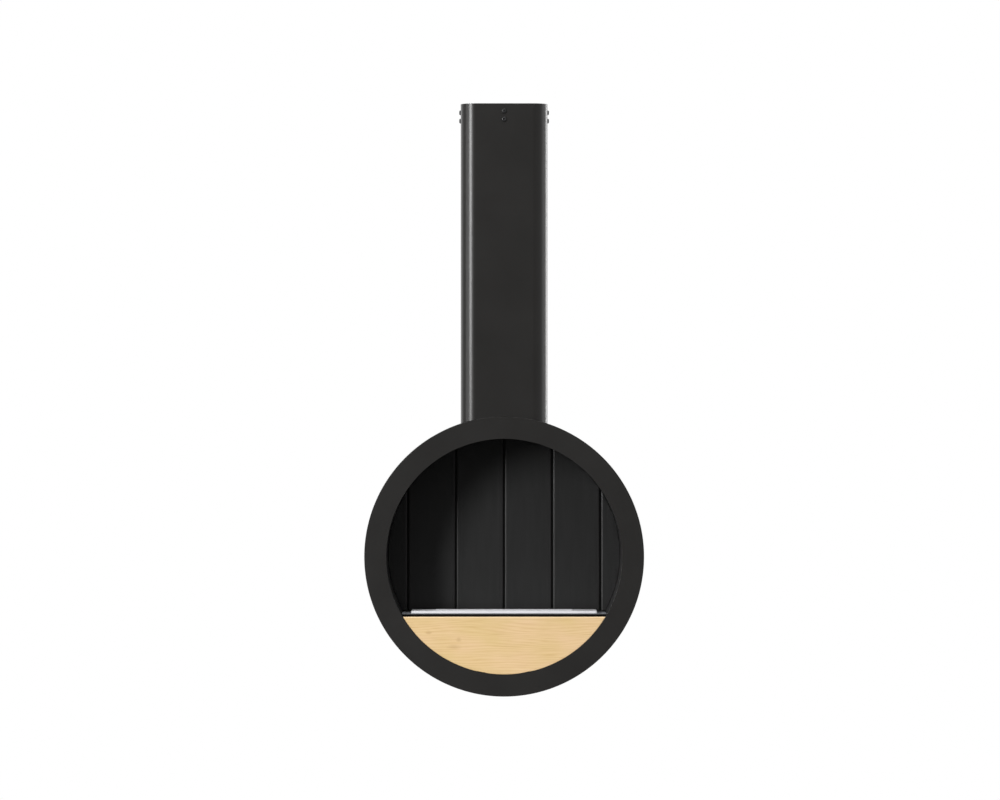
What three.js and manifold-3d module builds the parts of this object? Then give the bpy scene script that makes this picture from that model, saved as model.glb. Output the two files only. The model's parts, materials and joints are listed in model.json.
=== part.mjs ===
// A suspended round fireplace with an ethanol burner: a short steel drum with an open front, hung
// from the ceiling on a column of rounded rectangular tube. Millimetres, +Z up. The origin is on
// the ceiling, on the column's axis; the open front of the drum faces -Y.
import * as THREE from "three";
import { mergeVertices } from "three/addons/utils/BufferGeometryUtils.js";
import Module from "manifold-3d";

const wasm = await Module();
wasm.setup();

// ---------------------------------------------------------------- driving dimensions
const FIT = 0.3; // gap between two pieces that sit against each other
const ROUND_STEPS = 96; // facets round the drum
const INNER_ROUND_STEPS = 48; // the same on what nobody sees
const WOOD_ARC_STEPS = 40; // facets along the wooden front's arc
const SMALL_STEPS = 10; // facets round a screw or a hole
const CORNER_STEPS = 8; // facets in a quarter circle of the column
const INNER_CORNER_STEPS = 4; // the same on what fits inside the column
const BEND_STEPS = 4; // facets in a bend of sheet metal
const CUTOUT_STEPS = 2; // facets in the corner of a cut-out
const OVERCUT = 1; // how far a cutter passes the face that it cuts

// Drum: outer shell, front ring and inner liner
const DRUM_R = 400;
const DRUM_DEPTH = 300;
const DRUM_DROP = 1300; // ceiling to the drum's axis
const SHELL_T = 3;
const RING_W = 63; // width of the ring's face
const RING_T = 3;
const RING_FLANGE_T = 2.5;
const RING_FLANGE_DEPTH = 30; // from the ring's face to the end of its two flanges
const RING_EDGE_R = 2.5; // rounding of the ring's outer edge
const RING_LIP_R = 1.5; // rounding of the edge of the opening
const LINER_T = 2;
const BULKHEAD_T = 2;
const FIREBOX_DEPTH = 215; // ring's face to the face of the back panels

// Rear of the drum
const COVER_T = 2;
const REAR_FLANGE_T = 2;
const REAR_FLANGE_W = 25;
const REAR_SCREW_INSET = 13; // shell's inside to the screws' centres
const REAR_SCREW_COUNT = 6;
const BOARD_T = 25; // insulation board behind the firebox
const BLANKET_T = 15; // insulation blanket over the firebox
const BLANKET_HALF_ANGLE = 65; // degrees each side of the crown
const BLANKET_FRONT_GAP = 1; // ring's collar to the blanket

// Back panels: folded sheet, hooked on two rails
const PANEL_COUNT = 6;
const END_PANEL_W = 57.3; // what the liner leaves of the first and the last panel
const PANEL_GAP = 2;
const PANEL_T = 1.5;
const PANEL_BEND_R = 4;
const PANEL_FOLD = 16; // depth of the folded edges
const PANEL_END_GAP = 1; // panel to the liner and to the shelf
const RAIL_T = 2;
const RAIL_CHANNEL = 4; // between the rail's lip and its back plate
const RAIL_LIP_H = 12;
const RAIL_PLATE_H = 30;
const HOOK_PLAY = 2; // what a panel is lifted beyond the lip to come off
const RAIL_LEVELS = { upper: 140, lower: -110 }; // channel floors, from the drum's axis

// Column, its foot and the ceiling bracket
const COLUMN_W = 250;
const COLUMN_D = 180;
const COLUMN_CORNER_R = 43;
const COLUMN_T = 3;
const COLUMN_TOP_GAP = 0.5; // ceiling to the column's top edge
const CEILING_PLATE_T = 8;
const SLEEVE_T = 5;
const SLEEVE_H = 70;
const SLEEVE_PLAY = 0.5; // sleeve to the inside of the column
const ANCHOR_R = 6;
const ANCHOR_SPAN_X = 150;
const ANCHOR_SPAN_Y = 90;
const FOOT_T = 5;
const FOOT_RISE = 12; // drum's crown to the underside of the column's foot
const HANGER_W = 242;
const HANGER_D = 150;
const HANGER_T = 5;

// Fasteners: button-head screws, as radii, lengths and depths
const M8 = { shank: 4, length: 16, head: 7, height: 4.4, socket: 2.9, socketDepth: 2.6 };
const M5 = { shank: 2.5, length: 10, head: 4.75, height: 2.75, socket: 1.75, socketDepth: 1.6 };
const HEAD_CROWN = 0.55; // flat top of a button head, as a share of its radius
const HEAD_RIM = 0.25; // upright edge of a button head, as a share of its height
const SHANK_CHAMFER = 0.2; // of the shank's radius
const COLUMN_SCREW_DROPS = { upper: 22, lower: 46 }; // ceiling to the screws' centres
const SCREW_HOLE_PLAY = 0.5;
const BOLT_R = 5;
const BOLT_HEAD_AF = 16;
const BOLT_HEAD_H = 6.4;
const BOLT_TAIL = 3; // bolt's end above its nut
const BOLT_HOLE_PLAY = 0.5;
const BOLT_SPAN_X = 140;
const BOLT_SPAN_Y = 90;
const NUT_H = 8.4;

// Shelf and the tray under it
const SHELF_DROP = 164; // drum's axis down to the shelf's top
const SHELF_T = 1.5;
const SHELF_HEM = 10; // depth of its front edge, folded flat under it
const SHELF_SETBACK = 4; // behind the ring's face
const BRACKET_T = 3;
const BRACKET_W = 30;
const BRACKET_LEG = 30;
const BRACKET_SETBACK = 35; // ring's face to the brackets
const BRACKET_LENGTH = 180;
const CUTOUT_PLAY = 2; // tank to the edge of the shelf's cut-out
const SPILL_T = 1.5;
const SPILL_LEDGE = 4; // cut-out's edge to the inside of the spill tray
const SPILL_FLANGE_W = 12;
const SPILL_CLEAR = 8; // tank's floor to the spill tray's floor

// Burner
const BURNER_END_GAP = 26; // shelf's end to the burner's
const BURNER_D = 102;
const BURNER_SETBACK = 40; // ring's face to the burner's front edge
const TRAY_H = 7;
const TRAY_T = 1.5;
const TRAY_CORNER_R = 4;
const TANK_INSET_X = 45; // tray's edge to the tank's wall
const TANK_INSET_Y = 11;
const TANK_H = 60;
const TANK_T = 1.5;
const SLOT_MARGIN_X = 33; // tank's wall to the end of the flame slot
const SLOT_MARGIN_Y = 22;
const MESH_DROP = 14; // tray's underside to the perforated plate
const MESH_T = 1.2;
const MESH_ROWS = 2;
const MESH_PITCH_X = 24;
const MESH_PITCH_Y = 14;
const MESH_SLOT_L = 17;
const MESH_SLOT_D = 5;
const LID_LAP = 8; // lid's edge beyond the flame slot's
const LID_CORNER_R = 4;
const LID_T = 1.5;
const LID_FRAME_T = 1.5;
const LID_FRAME_H = 5; // locating frame, below the lid's plate
const LID_FRAME_PLAY = 1;
const HOOK_SLOT_W = 11;
const HOOK_SLOT_D = 5;
const HOOK_SLOT_INSET = 24; // lid's end to the slot's centre
const HOOK_HOLE_R = 5; // in the tray, beyond the lid's ends
const HOOK_HOLE_OFFSET = 7; // lid's end to the hole's centre
const SLOT_END_FLAT = 0.3; // half of the flat left between the two corners of a slot's end

// Wooden front and what carries it
const WOOD_T = 20;
const WOOD_GAP = 1.5; // to the edge of the opening
const WOOD_RECESS = 1.5; // behind the ring's face
const WOOD_TOP_GAP = 5; // shelf's hem to the front's top edge
const WOOD_CHAMFER = 1;
const FRONT_RAIL_T = 3;
const FRONT_RAIL_H = 40;
const FRONT_RAIL_LEG = 20;
const FRONT_RAIL_DROP = 21; // front's top edge to the rail's top
const DOWEL_R = 4;
const DOWEL_EMBED = 12;
const DOWEL_REACH = 10; // beyond the rail
const DOWEL_SPAN = 360;
const MAGNET_R = 10;
const MAGNET_T = 5;
const MAGNET_SPAN = 200;
const POCKET_PLAY = 0.4; // dowel or magnet to the wall of its pocket

// ---------------------------------------------------------------- derived places
const FRONT_Y = -DRUM_DEPTH / 2;
const REAR_Y = DRUM_DEPTH / 2;
const SHELL_INNER_R = DRUM_R - SHELL_T;
const OPENING_R = DRUM_R - RING_W;
const LINER_R = OPENING_R + FIT; // inside of the liner, flush with the opening
const LINER_OUTER_R = LINER_R + LINER_T;
const COLLAR_R = LINER_OUTER_R + FIT; // the ring's inner flange goes round the liner
const FLANGE_END_Y = FRONT_Y + RING_FLANGE_DEPTH;
const PANEL_PITCH = (2 * (LINER_R - END_PANEL_W)) / (PANEL_COUNT - 2);
const PANEL_Y = FRONT_Y + FIREBOX_DEPTH;
const PANEL_REAR_Y = PANEL_Y + PANEL_FOLD;
const RAIL_PLATE_Y = PANEL_REAR_Y + FIT;
const BULKHEAD_Y = RAIL_PLATE_Y + RAIL_T + FIT;
const SHELF_TOP_Z = -SHELF_DROP;
const SHELF_BOTTOM_Z = SHELF_TOP_Z - SHELF_T;
const SHELF_HEM_Z = SHELF_TOP_Z - 2 * SHELF_T;
/** Half the chord of a circle of radius r at height z. */
const halfChord = (r, z) => Math.sqrt(r * r - z * z);
const SHELF_HALF_W = halfChord(LINER_R - FIT, SHELF_HEM_Z);
const BURNER_W = 2 * (SHELF_HALF_W - BURNER_END_GAP);
const BURNER_Y = FRONT_Y + BURNER_SETBACK + BURNER_D / 2;
const TANK_W = BURNER_W - 2 * TANK_INSET_X;
const TANK_D = BURNER_D - 2 * TANK_INSET_Y;
const SLOT_W = TANK_W - 2 * SLOT_MARGIN_X;
const SLOT_D = TANK_D - 2 * SLOT_MARGIN_Y;
const LID_W = SLOT_W + 2 * LID_LAP;
const LID_D = SLOT_D + 2 * LID_LAP;
const TRAY_TOP_Z = SHELF_TOP_Z + FIT + TRAY_H;
const TRAY_UNDER_Z = TRAY_TOP_Z - TRAY_T;
const TANK_TOP_Z = TRAY_UNDER_Z - FIT;
const TANK_BOTTOM_Z = TANK_TOP_Z - TANK_H;
const MESH_TOP_Z = TRAY_UNDER_Z - MESH_DROP;
const CUTOUT_W = TANK_W + 2 * CUTOUT_PLAY;
const CUTOUT_D = TANK_D + 2 * CUTOUT_PLAY;
const WOOD_FRONT_Y = FRONT_Y + WOOD_RECESS;
const WOOD_BACK_Y = WOOD_FRONT_Y + WOOD_T;
const WOOD_R = OPENING_R - WOOD_GAP;
const WOOD_TOP_Z = SHELF_HEM_Z - WOOD_TOP_GAP;
const FRONT_RAIL_Y = WOOD_BACK_Y + FIT;
const FRONT_RAIL_TOP_Z = WOOD_TOP_Z - FRONT_RAIL_DROP;
const FRONT_RAIL_MID_Z = FRONT_RAIL_TOP_Z - FRONT_RAIL_H / 2;
const FOOT_Z = DRUM_R + FOOT_RISE; // underside of the column's foot, from the drum's axis
const HANGER_TOP_Z = halfChord(SHELL_INNER_R - FIT, HANGER_W / 2);
const HANGER_UNDER_Z = HANGER_TOP_Z - HANGER_T;

// ---------------------------------------------------------------- materials
const finish = (color, roughness, metalness) =>
  new THREE.MeshStandardMaterial({ color, roughness, metalness });
const blackPaint = finish(0x2d2d2d, 0.45, 0.0);
const blackScrew = finish(0x26262a, 0.35, 0.6);
const stainless = finish(0xc8c8ca, 0.3, 1.0);
const zincSteel = finish(0x9aa0a4, 0.45, 1.0);
const oak = finish(0xe4c592, 0.55, 0.0);
const beech = finish(0xd9b98c, 0.6, 0.0);
const vermiculite = finish(0xb9a583, 0.95, 0.0);
const ceramicWool = finish(0xeeeeea, 1.0, 0.0);
const magnetNickel = finish(0xc2c2c0, 0.2, 1.0);

// ---------------------------------------------------------------- solids
/** A closed geometry as a solid that can be joined and cut. */
function solid(geometry) {
  geometry.deleteAttribute("normal");
  geometry.deleteAttribute("uv");
  const merged = mergeVertices(geometry, 1e-4);
  return new wasm.Manifold(
    new wasm.Mesh({
      numProp: 3,
      vertProperties: new Float32Array(merged.attributes.position.array),
      triVerts: new Uint32Array(merged.index.array),
    }),
  );
}

/** A solid's triangles as a geometry. */
function geometryOf(body) {
  const { vertProperties, triVerts } = body.getMesh();
  const geometry = new THREE.BufferGeometry();
  geometry.setAttribute("position", new THREE.BufferAttribute(vertProperties, 3));
  geometry.setIndex(new THREE.BufferAttribute(triVerts, 1));
  geometry.computeVertexNormals();
  return geometry;
}

function mesh(name, body, material) {
  const made = new THREE.Mesh(geometryOf(body), material);
  made.name = name;
  return made;
}

function block([x0, x1], [y0, y1], [z0, z1]) {
  const geometry = new THREE.BoxGeometry(x1 - x0, y1 - y0, z1 - z0);
  return solid(geometry.translate((x0 + x1) / 2, (y0 + y1) / 2, (z0 + z1) / 2));
}

/** A profile of [radius, y] pairs turned about the drum's axis, which runs along Y. */
function turned(profile, steps = ROUND_STEPS) {
  const points = profile.map(([r, y]) => new THREE.Vector2(r, y));
  return solid(new THREE.LatheGeometry(points, steps));
}

const closed = (profile) => [...profile, profile[0]];
const disc = (r, y0, y1, steps) => turned([[0, y0], [r, y0], [r, y1], [0, y1]], steps);
const annulus = (r0, r1, y0, y1, steps) =>
  turned(closed([[r0, y0], [r1, y0], [r1, y1], [r0, y1]]), steps);

/** A shape drawn in X and Z, carried along Y. */
function alongY(shape, y0, y1, options = {}) {
  const geometry = new THREE.ExtrudeGeometry(shape, {
    depth: y1 - y0,
    bevelEnabled: false,
    ...options,
  });
  return solid(geometry.rotateX(Math.PI / 2).translate(0, y1, 0));
}

/** A shape drawn in X and Y, carried along Z. */
function alongZ(shape, z0, z1, curveSegments = CORNER_STEPS) {
  const geometry = new THREE.ExtrudeGeometry(shape, {
    depth: z1 - z0,
    bevelEnabled: false,
    curveSegments,
  });
  return solid(geometry.translate(0, 0, z0));
}

/** A shape drawn in Y and Z, carried along X. */
function alongX(shape, x0, x1) {
  const geometry = new THREE.ExtrudeGeometry(shape, { depth: x1 - x0, bevelEnabled: false });
  return solid(geometry.rotateY(Math.PI / 2).rotateX(Math.PI / 2).translate(x0, 0, 0));
}

function polygon(points) {
  return new THREE.Shape(points.map(([x, y]) => new THREE.Vector2(x, y)));
}

/** A rectangle with round corners, centred on (cx, cy), as a shape or as a hole's path. */
function roundedRectangle(w, d, r, cx = 0, cy = 0, Path = THREE.Shape) {
  const [x, y] = [w / 2 - r, d / 2 - r];
  const path = new Path();
  path.moveTo(cx + x, cy - y - r);
  path.absarc(cx + x, cy - y, r, -Math.PI / 2, 0);
  path.absarc(cx + x, cy + y, r, 0, Math.PI / 2);
  path.absarc(cx - x, cy + y, r, Math.PI / 2, Math.PI);
  path.absarc(cx - x, cy - y, r, Math.PI, 1.5 * Math.PI);
  path.closePath();
  return path;
}

/** An upright cylinder on (x, y). */
function post(r, x, y, [z0, z1], steps = SMALL_STEPS) {
  const geometry = new THREE.CylinderGeometry(r, r, z1 - z0, steps).rotateX(Math.PI / 2);
  return solid(geometry.translate(x, y, (z0 + z1) / 2));
}

/** A cylinder along Y on (x, z). */
function pinAlongY(r, x, z, [y0, y1], steps = SMALL_STEPS) {
  const geometry = new THREE.CylinderGeometry(r, r, y1 - y0, steps);
  return solid(geometry.translate(x, (y0 + y1) / 2, z));
}

/** An arc from angle a to angle b in degrees, as [radius, y] pairs. */
function arcPoints(cr, cy, r, a, b, steps) {
  return Array.from({ length: steps + 1 }, (_, i) => {
    const t = THREE.MathUtils.degToRad(a + ((b - a) * i) / steps);
    return [cr + r * Math.cos(t), cy + r * Math.sin(t)];
  });
}

const cutAll = (body, cutters) => cutters.reduce((left, cutter) => left.subtract(cutter), body);
const mirroredPairs = (spanX, spanY) =>
  [-1, 1].flatMap((i) => [-1, 1].map((j) => [(i * spanX) / 2, (j * spanY) / 2]));

// ---------------------------------------------------------------- fasteners
/** A button-head socket screw, its head towards +Y and the underside of its head at y = 0. */
function buttonScrew({ shank, length, head, height, socket, socketDepth }) {
  const [crown, rim] = [head * HEAD_CROWN, height * HEAD_RIM];
  const dome = arcPoints(0, 0, 1, 0, 90, 2).map(([across, up]) => [
    crown + (head - crown) * across,
    rim + (height - rim) * up,
  ]);
  const chamfer = shank * SHANK_CHAMFER;
  const body = turned(
    [[0, -length], [shank - chamfer, -length], [shank, chamfer - length], [shank, 0], [head, 0],
      ...dome, [0, height]],
    SMALL_STEPS,
  );
  const key = new THREE.CylinderGeometry(socket, socket, 2 * socketDepth, 6);
  return body.subtract(solid(key.translate(0, height, 0)));
}

/** A hexagon across two flats, carried along Z. */
function hexagon(acrossFlats, x, y, [z0, z1]) {
  return post(acrossFlats / Math.sqrt(3), x, y, [z0, z1], 6);
}

// ---------------------------------------------------------------- ceiling bracket and column
/** Width, depth and corner radius of the column's inside, drawn in by an inset. */
const innerColumn = (inset) => [
  COLUMN_W - 2 * (COLUMN_T + inset),
  COLUMN_D - 2 * (COLUMN_T + inset),
  COLUMN_CORNER_R - COLUMN_T - inset,
];

/** The four faces of the column: their names, a screw's turn about Z, outward directions. */
const COLUMN_FACES = [
  { side: "front", turn: Math.PI, x: 0, y: -1 },
  { side: "rear", turn: 0, x: 0, y: 1 },
  { side: "left", turn: Math.PI / 2, x: -1, y: 0 },
  { side: "right", turn: -Math.PI / 2, x: 1, y: 0 },
];

/** Holes of one radius through every wall where a column screw goes. */
function columnScrewHoles(r) {
  return Object.values(COLUMN_SCREW_DROPS).flatMap((drop) => {
    const across = new THREE.CylinderGeometry(r, r, 2 * COLUMN_W, SMALL_STEPS);
    return [
      solid(across.clone().translate(0, 0, -drop)),
      solid(across.clone().rotateZ(Math.PI / 2).translate(0, 0, -drop)),
    ];
  });
}

function ceilingPlate() {
  const outline = roundedRectangle(...innerColumn(SLEEVE_PLAY));
  const plate = alongZ(outline, -CEILING_PLATE_T, 0, INNER_CORNER_STEPS);
  const anchors = mirroredPairs(ANCHOR_SPAN_X, ANCHOR_SPAN_Y).map(([x, y]) =>
    post(ANCHOR_R, x, y, [-CEILING_PLATE_T - OVERCUT, OVERCUT]),
  );
  return cutAll(plate, anchors);
}

function ceilingSleeve() {
  const ring = roundedRectangle(...innerColumn(SLEEVE_PLAY));
  ring.holes.push(roundedRectangle(...innerColumn(SLEEVE_PLAY + SLEEVE_T), 0, 0, THREE.Path));
  const top = -CEILING_PLATE_T - FIT;
  const sleeve = alongZ(ring, top - SLEEVE_H, top, INNER_CORNER_STEPS);
  return cutAll(sleeve, columnScrewHoles(M8.shank + SCREW_HOLE_PLAY));
}

/** The column, cut at its foot to sit on the drum. */
function columnTube() {
  const wall = roundedRectangle(COLUMN_W, COLUMN_D, COLUMN_CORNER_R);
  wall.holes.push(roundedRectangle(...innerColumn(0), 0, 0, THREE.Path));
  const tube = alongZ(wall, -DRUM_DROP, -COLUMN_TOP_GAP);
  const saddle = disc(DRUM_R + FIT, -DRUM_DEPTH, DRUM_DEPTH).translate(0, 0, -DRUM_DROP);
  return cutAll(tube, [saddle, ...columnScrewHoles(M8.shank + SCREW_HOLE_PLAY)]);
}

const boltPlaces = mirroredPairs(BOLT_SPAN_X, BOLT_SPAN_Y);
const boltHoles = ([z0, z1]) =>
  boltPlaces.map(([x, y]) => post(BOLT_R + BOLT_HOLE_PLAY, x, y, [z0, z1]));

function columnFoot() {
  const outline = roundedRectangle(...innerColumn(FIT));
  const plate = alongZ(outline, FOOT_Z, FOOT_Z + FOOT_T, INNER_CORNER_STEPS);
  return cutAll(plate, boltHoles([FOOT_Z - OVERCUT, FOOT_Z + FOOT_T + OVERCUT]));
}

/** The chord plate inside the drum's crown: its two ends bear on the shell. */
function hangerPlate() {
  const plate = block(
    [-HANGER_W / 2, HANGER_W / 2], [-HANGER_D / 2, HANGER_D / 2], [HANGER_UNDER_Z, HANGER_TOP_Z],
  );
  return cutAll(plate, boltHoles([HANGER_UNDER_Z - OVERCUT, HANGER_TOP_Z + OVERCUT]));
}

const NUT_Z = FOOT_Z + FOOT_T + FIT;

function hangerBolt(x, y) {
  const seat = HANGER_UNDER_Z - FIT;
  const head = hexagon(BOLT_HEAD_AF, x, y, [seat - BOLT_HEAD_H, seat]);
  return head.add(post(BOLT_R, x, y, [seat - BOLT_HEAD_H / 2, NUT_Z + NUT_H + BOLT_TAIL]));
}

function footNut(x, y) {
  const nut = hexagon(BOLT_HEAD_AF, x, y, [NUT_Z, NUT_Z + NUT_H]);
  return nut.subtract(post(BOLT_R + FIT, x, y, [NUT_Z - OVERCUT, NUT_Z + NUT_H + OVERCUT]));
}

// ---------------------------------------------------------------- drum
/** The front ring: a flat face, a flange inside the shell and a collar round the liner. */
function frontRing() {
  const back = FRONT_Y + RING_T;
  const shellSide = SHELL_INNER_R - FIT;
  return turned(closed([
    ...arcPoints(OPENING_R + RING_LIP_R, FRONT_Y + RING_LIP_R, RING_LIP_R, 180, 270, 1),
    ...arcPoints(DRUM_R - RING_EDGE_R, FRONT_Y + RING_EDGE_R, RING_EDGE_R, -90, 0, 2),
    [DRUM_R, back],
    [shellSide, back],
    [shellSide, FLANGE_END_Y],
    [shellSide - RING_FLANGE_T, FLANGE_END_Y],
    [shellSide - RING_FLANGE_T, back],
    [COLLAR_R + RING_FLANGE_T, back],
    [COLLAR_R + RING_FLANGE_T, FLANGE_END_Y],
    [COLLAR_R, FLANGE_END_Y],
    [COLLAR_R, back],
    [OPENING_R, back],
  ]));
}

function outerShell() {
  const shell = annulus(SHELL_INNER_R, DRUM_R, FRONT_Y + RING_T + FIT, REAR_Y);
  return cutAll(shell, boltHoles([0, DRUM_R + OVERCUT]));
}

const fireboxLiner = () => annulus(LINER_R, LINER_OUTER_R, FRONT_Y + RING_T + FIT, BULKHEAD_Y - FIT);
const bulkhead = () =>
  disc(SHELL_INNER_R - FIT, BULKHEAD_Y, BULKHEAD_Y + BULKHEAD_T, INNER_ROUND_STEPS);
const insulationBoard = () => {
  const front = BULKHEAD_Y + BULKHEAD_T + FIT;
  return disc(LINER_OUTER_R, front, front + BOARD_T, INNER_ROUND_STEPS);
};

/** The blanket lies over the liner, each side of the crown, behind the ring's collar. */
function insulationBlanket() {
  const half = THREE.MathUtils.degToRad(BLANKET_HALF_ANGLE);
  const [from, to] = [Math.PI / 2 - half, Math.PI / 2 + half];
  const inner = LINER_OUTER_R + FIT;
  const shape = new THREE.Shape();
  shape.absarc(0, 0, inner + BLANKET_T, from, to);
  shape.absarc(0, 0, inner, to, from, true);
  shape.closePath();
  const front = FLANGE_END_Y + BLANKET_FRONT_GAP;
  return alongY(shape, front, BULKHEAD_Y - FIT, { curveSegments: INNER_ROUND_STEPS / 2 });
}

const REAR_SCREW_R = SHELL_INNER_R - REAR_SCREW_INSET;
const rearScrewPlaces = Array.from({ length: REAR_SCREW_COUNT }, (_, i) => {
  const t = ((i + 0.5) * 2 * Math.PI) / REAR_SCREW_COUNT;
  return [REAR_SCREW_R * Math.sin(t), REAR_SCREW_R * Math.cos(t)];
});
const rearScrewHoles = () =>
  rearScrewPlaces.map(([x, z]) =>
    pinAlongY(M5.shank + SCREW_HOLE_PLAY, x, z, [BULKHEAD_Y, REAR_Y + OVERCUT]),
  );

function rearCover() {
  return cutAll(disc(SHELL_INNER_R - FIT, REAR_Y - COVER_T, REAR_Y), rearScrewHoles());
}

function rearFlange() {
  const rear = REAR_Y - COVER_T - FIT;
  const outer = SHELL_INNER_R - FIT;
  const ring = annulus(
    outer - REAR_FLANGE_W, outer, rear - REAR_FLANGE_T, rear, INNER_ROUND_STEPS,
  );
  return cutAll(ring, rearScrewHoles());
}

// ---------------------------------------------------------------- back panels and their rails
const LIP_Y = RAIL_PLATE_Y - RAIL_CHANNEL - RAIL_T;

/** A rail: a plate on the bulkhead, a channel floor and a lip that the panels hook over. */
function panelRail(level) {
  const profile = polygon([
    [RAIL_PLATE_Y + RAIL_T, level - RAIL_T],
    [RAIL_PLATE_Y + RAIL_T, level + RAIL_PLATE_H],
    [RAIL_PLATE_Y, level + RAIL_PLATE_H],
    [RAIL_PLATE_Y, level],
    [LIP_Y + RAIL_T, level],
    [LIP_Y + RAIL_T, level + RAIL_LIP_H],
    [LIP_Y, level + RAIL_LIP_H],
    [LIP_Y, level - RAIL_T],
  ]);
  const bar = alongX(profile, -LINER_R, LINER_R);
  return bar.intersect(disc(LINER_R - FIT, PANEL_Y, BULKHEAD_Y));
}

/** Section of a panel: a face with one or both of its edges folded back. */
function panelSection(x0, x1, foldLeft, foldRight) {
  const [r, inner, y] = [PANEL_BEND_R, PANEL_BEND_R - PANEL_T, PANEL_Y + PANEL_BEND_R];
  const shape = new THREE.Shape();
  if (foldLeft) {
    shape.moveTo(x0, PANEL_REAR_Y);
    shape.absarc(x0 + r, y, r, Math.PI, 1.5 * Math.PI);
  } else {
    shape.moveTo(x0, PANEL_Y);
  }
  if (foldRight) {
    shape.absarc(x1 - r, y, r, -Math.PI / 2, 0);
    shape.lineTo(x1, PANEL_REAR_Y);
    shape.lineTo(x1 - PANEL_T, PANEL_REAR_Y);
    shape.absarc(x1 - r, y, inner, 0, -Math.PI / 2, true);
  } else {
    shape.lineTo(x1, PANEL_Y);
    shape.lineTo(x1, PANEL_Y + PANEL_T);
  }
  if (foldLeft) {
    shape.absarc(x0 + r, y, inner, 1.5 * Math.PI, Math.PI, true);
    shape.lineTo(x0 + PANEL_T, PANEL_REAR_Y);
  } else {
    shape.lineTo(x0, PANEL_Y + PANEL_T);
  }
  shape.closePath();
  return shape;
}

/** What a folded edge loses where it hooks over one rail. */
function hookCutters(level, [x0, x1]) {
  const wide = [x0 - OVERCUT, x1 + OVERCUT];
  const [front, rear] = [LIP_Y - FIT, PANEL_REAR_Y + OVERCUT];
  const liftOn = RAIL_LIP_H + HOOK_PLAY;
  return [
    block(wide, [front, rear], [level - RAIL_T - liftOn, level + FIT]),
    block(wide, [front, LIP_Y + RAIL_T + FIT], [level, level + RAIL_LIP_H + FIT]),
  ];
}

/** One panel between two seams, cut to the liner's circle and standing just over the shelf. */
function backPanel(x0, x1, foldLeft, foldRight) {
  const sheet = alongZ(
    panelSection(x0, x1, foldLeft, foldRight), SHELF_TOP_Z + PANEL_END_GAP, LINER_R, BEND_STEPS,
  );
  const round = disc(LINER_R - PANEL_END_GAP, PANEL_Y - OVERCUT, PANEL_REAR_Y + OVERCUT);
  const hooks = Object.values(RAIL_LEVELS).flatMap((level) => hookCutters(level, [x0, x1]));
  return cutAll(sheet.intersect(round), hooks);
}

/** The seams between panels, with the liner's wall at both ends. */
function panelEdges() {
  const seams = Array.from({ length: PANEL_COUNT - 1 }, (_, i) =>
    (i - (PANEL_COUNT - 2) / 2) * PANEL_PITCH,
  );
  return [-LINER_R, ...seams, LINER_R];
}

// ---------------------------------------------------------------- shelf and burner
/** The shelf: a plate with the burner's cut-out, and a hem with a round nose along its front. */
function shelf() {
  const [front, rear] = [FRONT_Y + SHELF_SETBACK, BULKHEAD_Y - FIT];
  const [x0, x1, y0] = [-SHELF_HALF_W, SHELF_HALF_W, front + SHELF_T];
  const plate = polygon([[x0, y0], [x1, y0], [x1, rear], [x0, rear]]);
  plate.holes.push(roundedRectangle(CUTOUT_W, CUTOUT_D, 2 * CUTOUT_PLAY, 0, BURNER_Y, THREE.Path));
  const hem = polygon([
    ...arcPoints(y0, SHELF_BOTTOM_Z, SHELF_T, 90, 270, BEND_STEPS),
    [front + SHELF_HEM, SHELF_HEM_Z],
    [front + SHELF_HEM, SHELF_TOP_Z],
  ]);
  return alongZ(plate, SHELF_BOTTOM_Z, SHELF_TOP_Z, CUTOUT_STEPS).add(alongX(hem, x0, x1));
}

/** An angle under the shelf's end: a flat leg, and a leg rolled to the liner's wall. */
function shelfBracket(side) {
  const outer = LINER_R - FIT;
  const inner = outer - BRACKET_T;
  const top = SHELF_BOTTOM_Z - FIT;
  const start = Math.asin(-top / outer);
  const end = start + BRACKET_LEG / outer;
  const under = Math.asin((BRACKET_T - top) / inner);
  const shape = new THREE.Shape();
  shape.moveTo(outer * Math.cos(start) - BRACKET_W, top);
  shape.absarc(0, 0, outer, -start, -end, true);
  shape.absarc(0, 0, inner, -end, -under);
  shape.lineTo(outer * Math.cos(start) - BRACKET_W, top - BRACKET_T);
  shape.closePath();
  const front = FRONT_Y + BRACKET_SETBACK;
  const right = alongY(shape, front, front + BRACKET_LENGTH, { curveSegments: BEND_STEPS });
  return side > 0 ? right : right.mirror([1, 0, 0]);
}

/** An open box with a floor and four walls, its mouth at the top. */
function openBox([w, d, t], [bottom, top]) {
  const across = (inset) => [inset - w / 2, w / 2 - inset];
  const deep = (inset) => [BURNER_Y + inset - d / 2, BURNER_Y + d / 2 - inset];
  return block(across(0), deep(0), [bottom, top]).subtract(
    block(across(t), deep(t), [bottom + t, top + OVERCUT]),
  );
}

/** The spill tray, hung by its flange under the shelf. */
function spillTray() {
  const [w, d] = [CUTOUT_W, CUTOUT_D].map((size) => size + 2 * (SPILL_LEDGE + SPILL_T));
  const top = SHELF_BOTTOM_Z - FIT;
  const floor = TANK_BOTTOM_Z - SPILL_CLEAR - SPILL_T;
  const flange = roundedRectangle(
    w + 2 * SPILL_FLANGE_W, d + 2 * SPILL_FLANGE_W, SPILL_FLANGE_W, 0, BURNER_Y,
  );
  const inside = roundedRectangle(w - 2 * SPILL_T, d - 2 * SPILL_T, SPILL_T, 0, BURNER_Y, THREE.Path);
  flange.holes.push(inside);
  const rim = alongZ(flange, top - SPILL_T, top, CUTOUT_STEPS);
  return openBox([w, d, SPILL_T], [floor, top]).add(rim);
}

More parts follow.
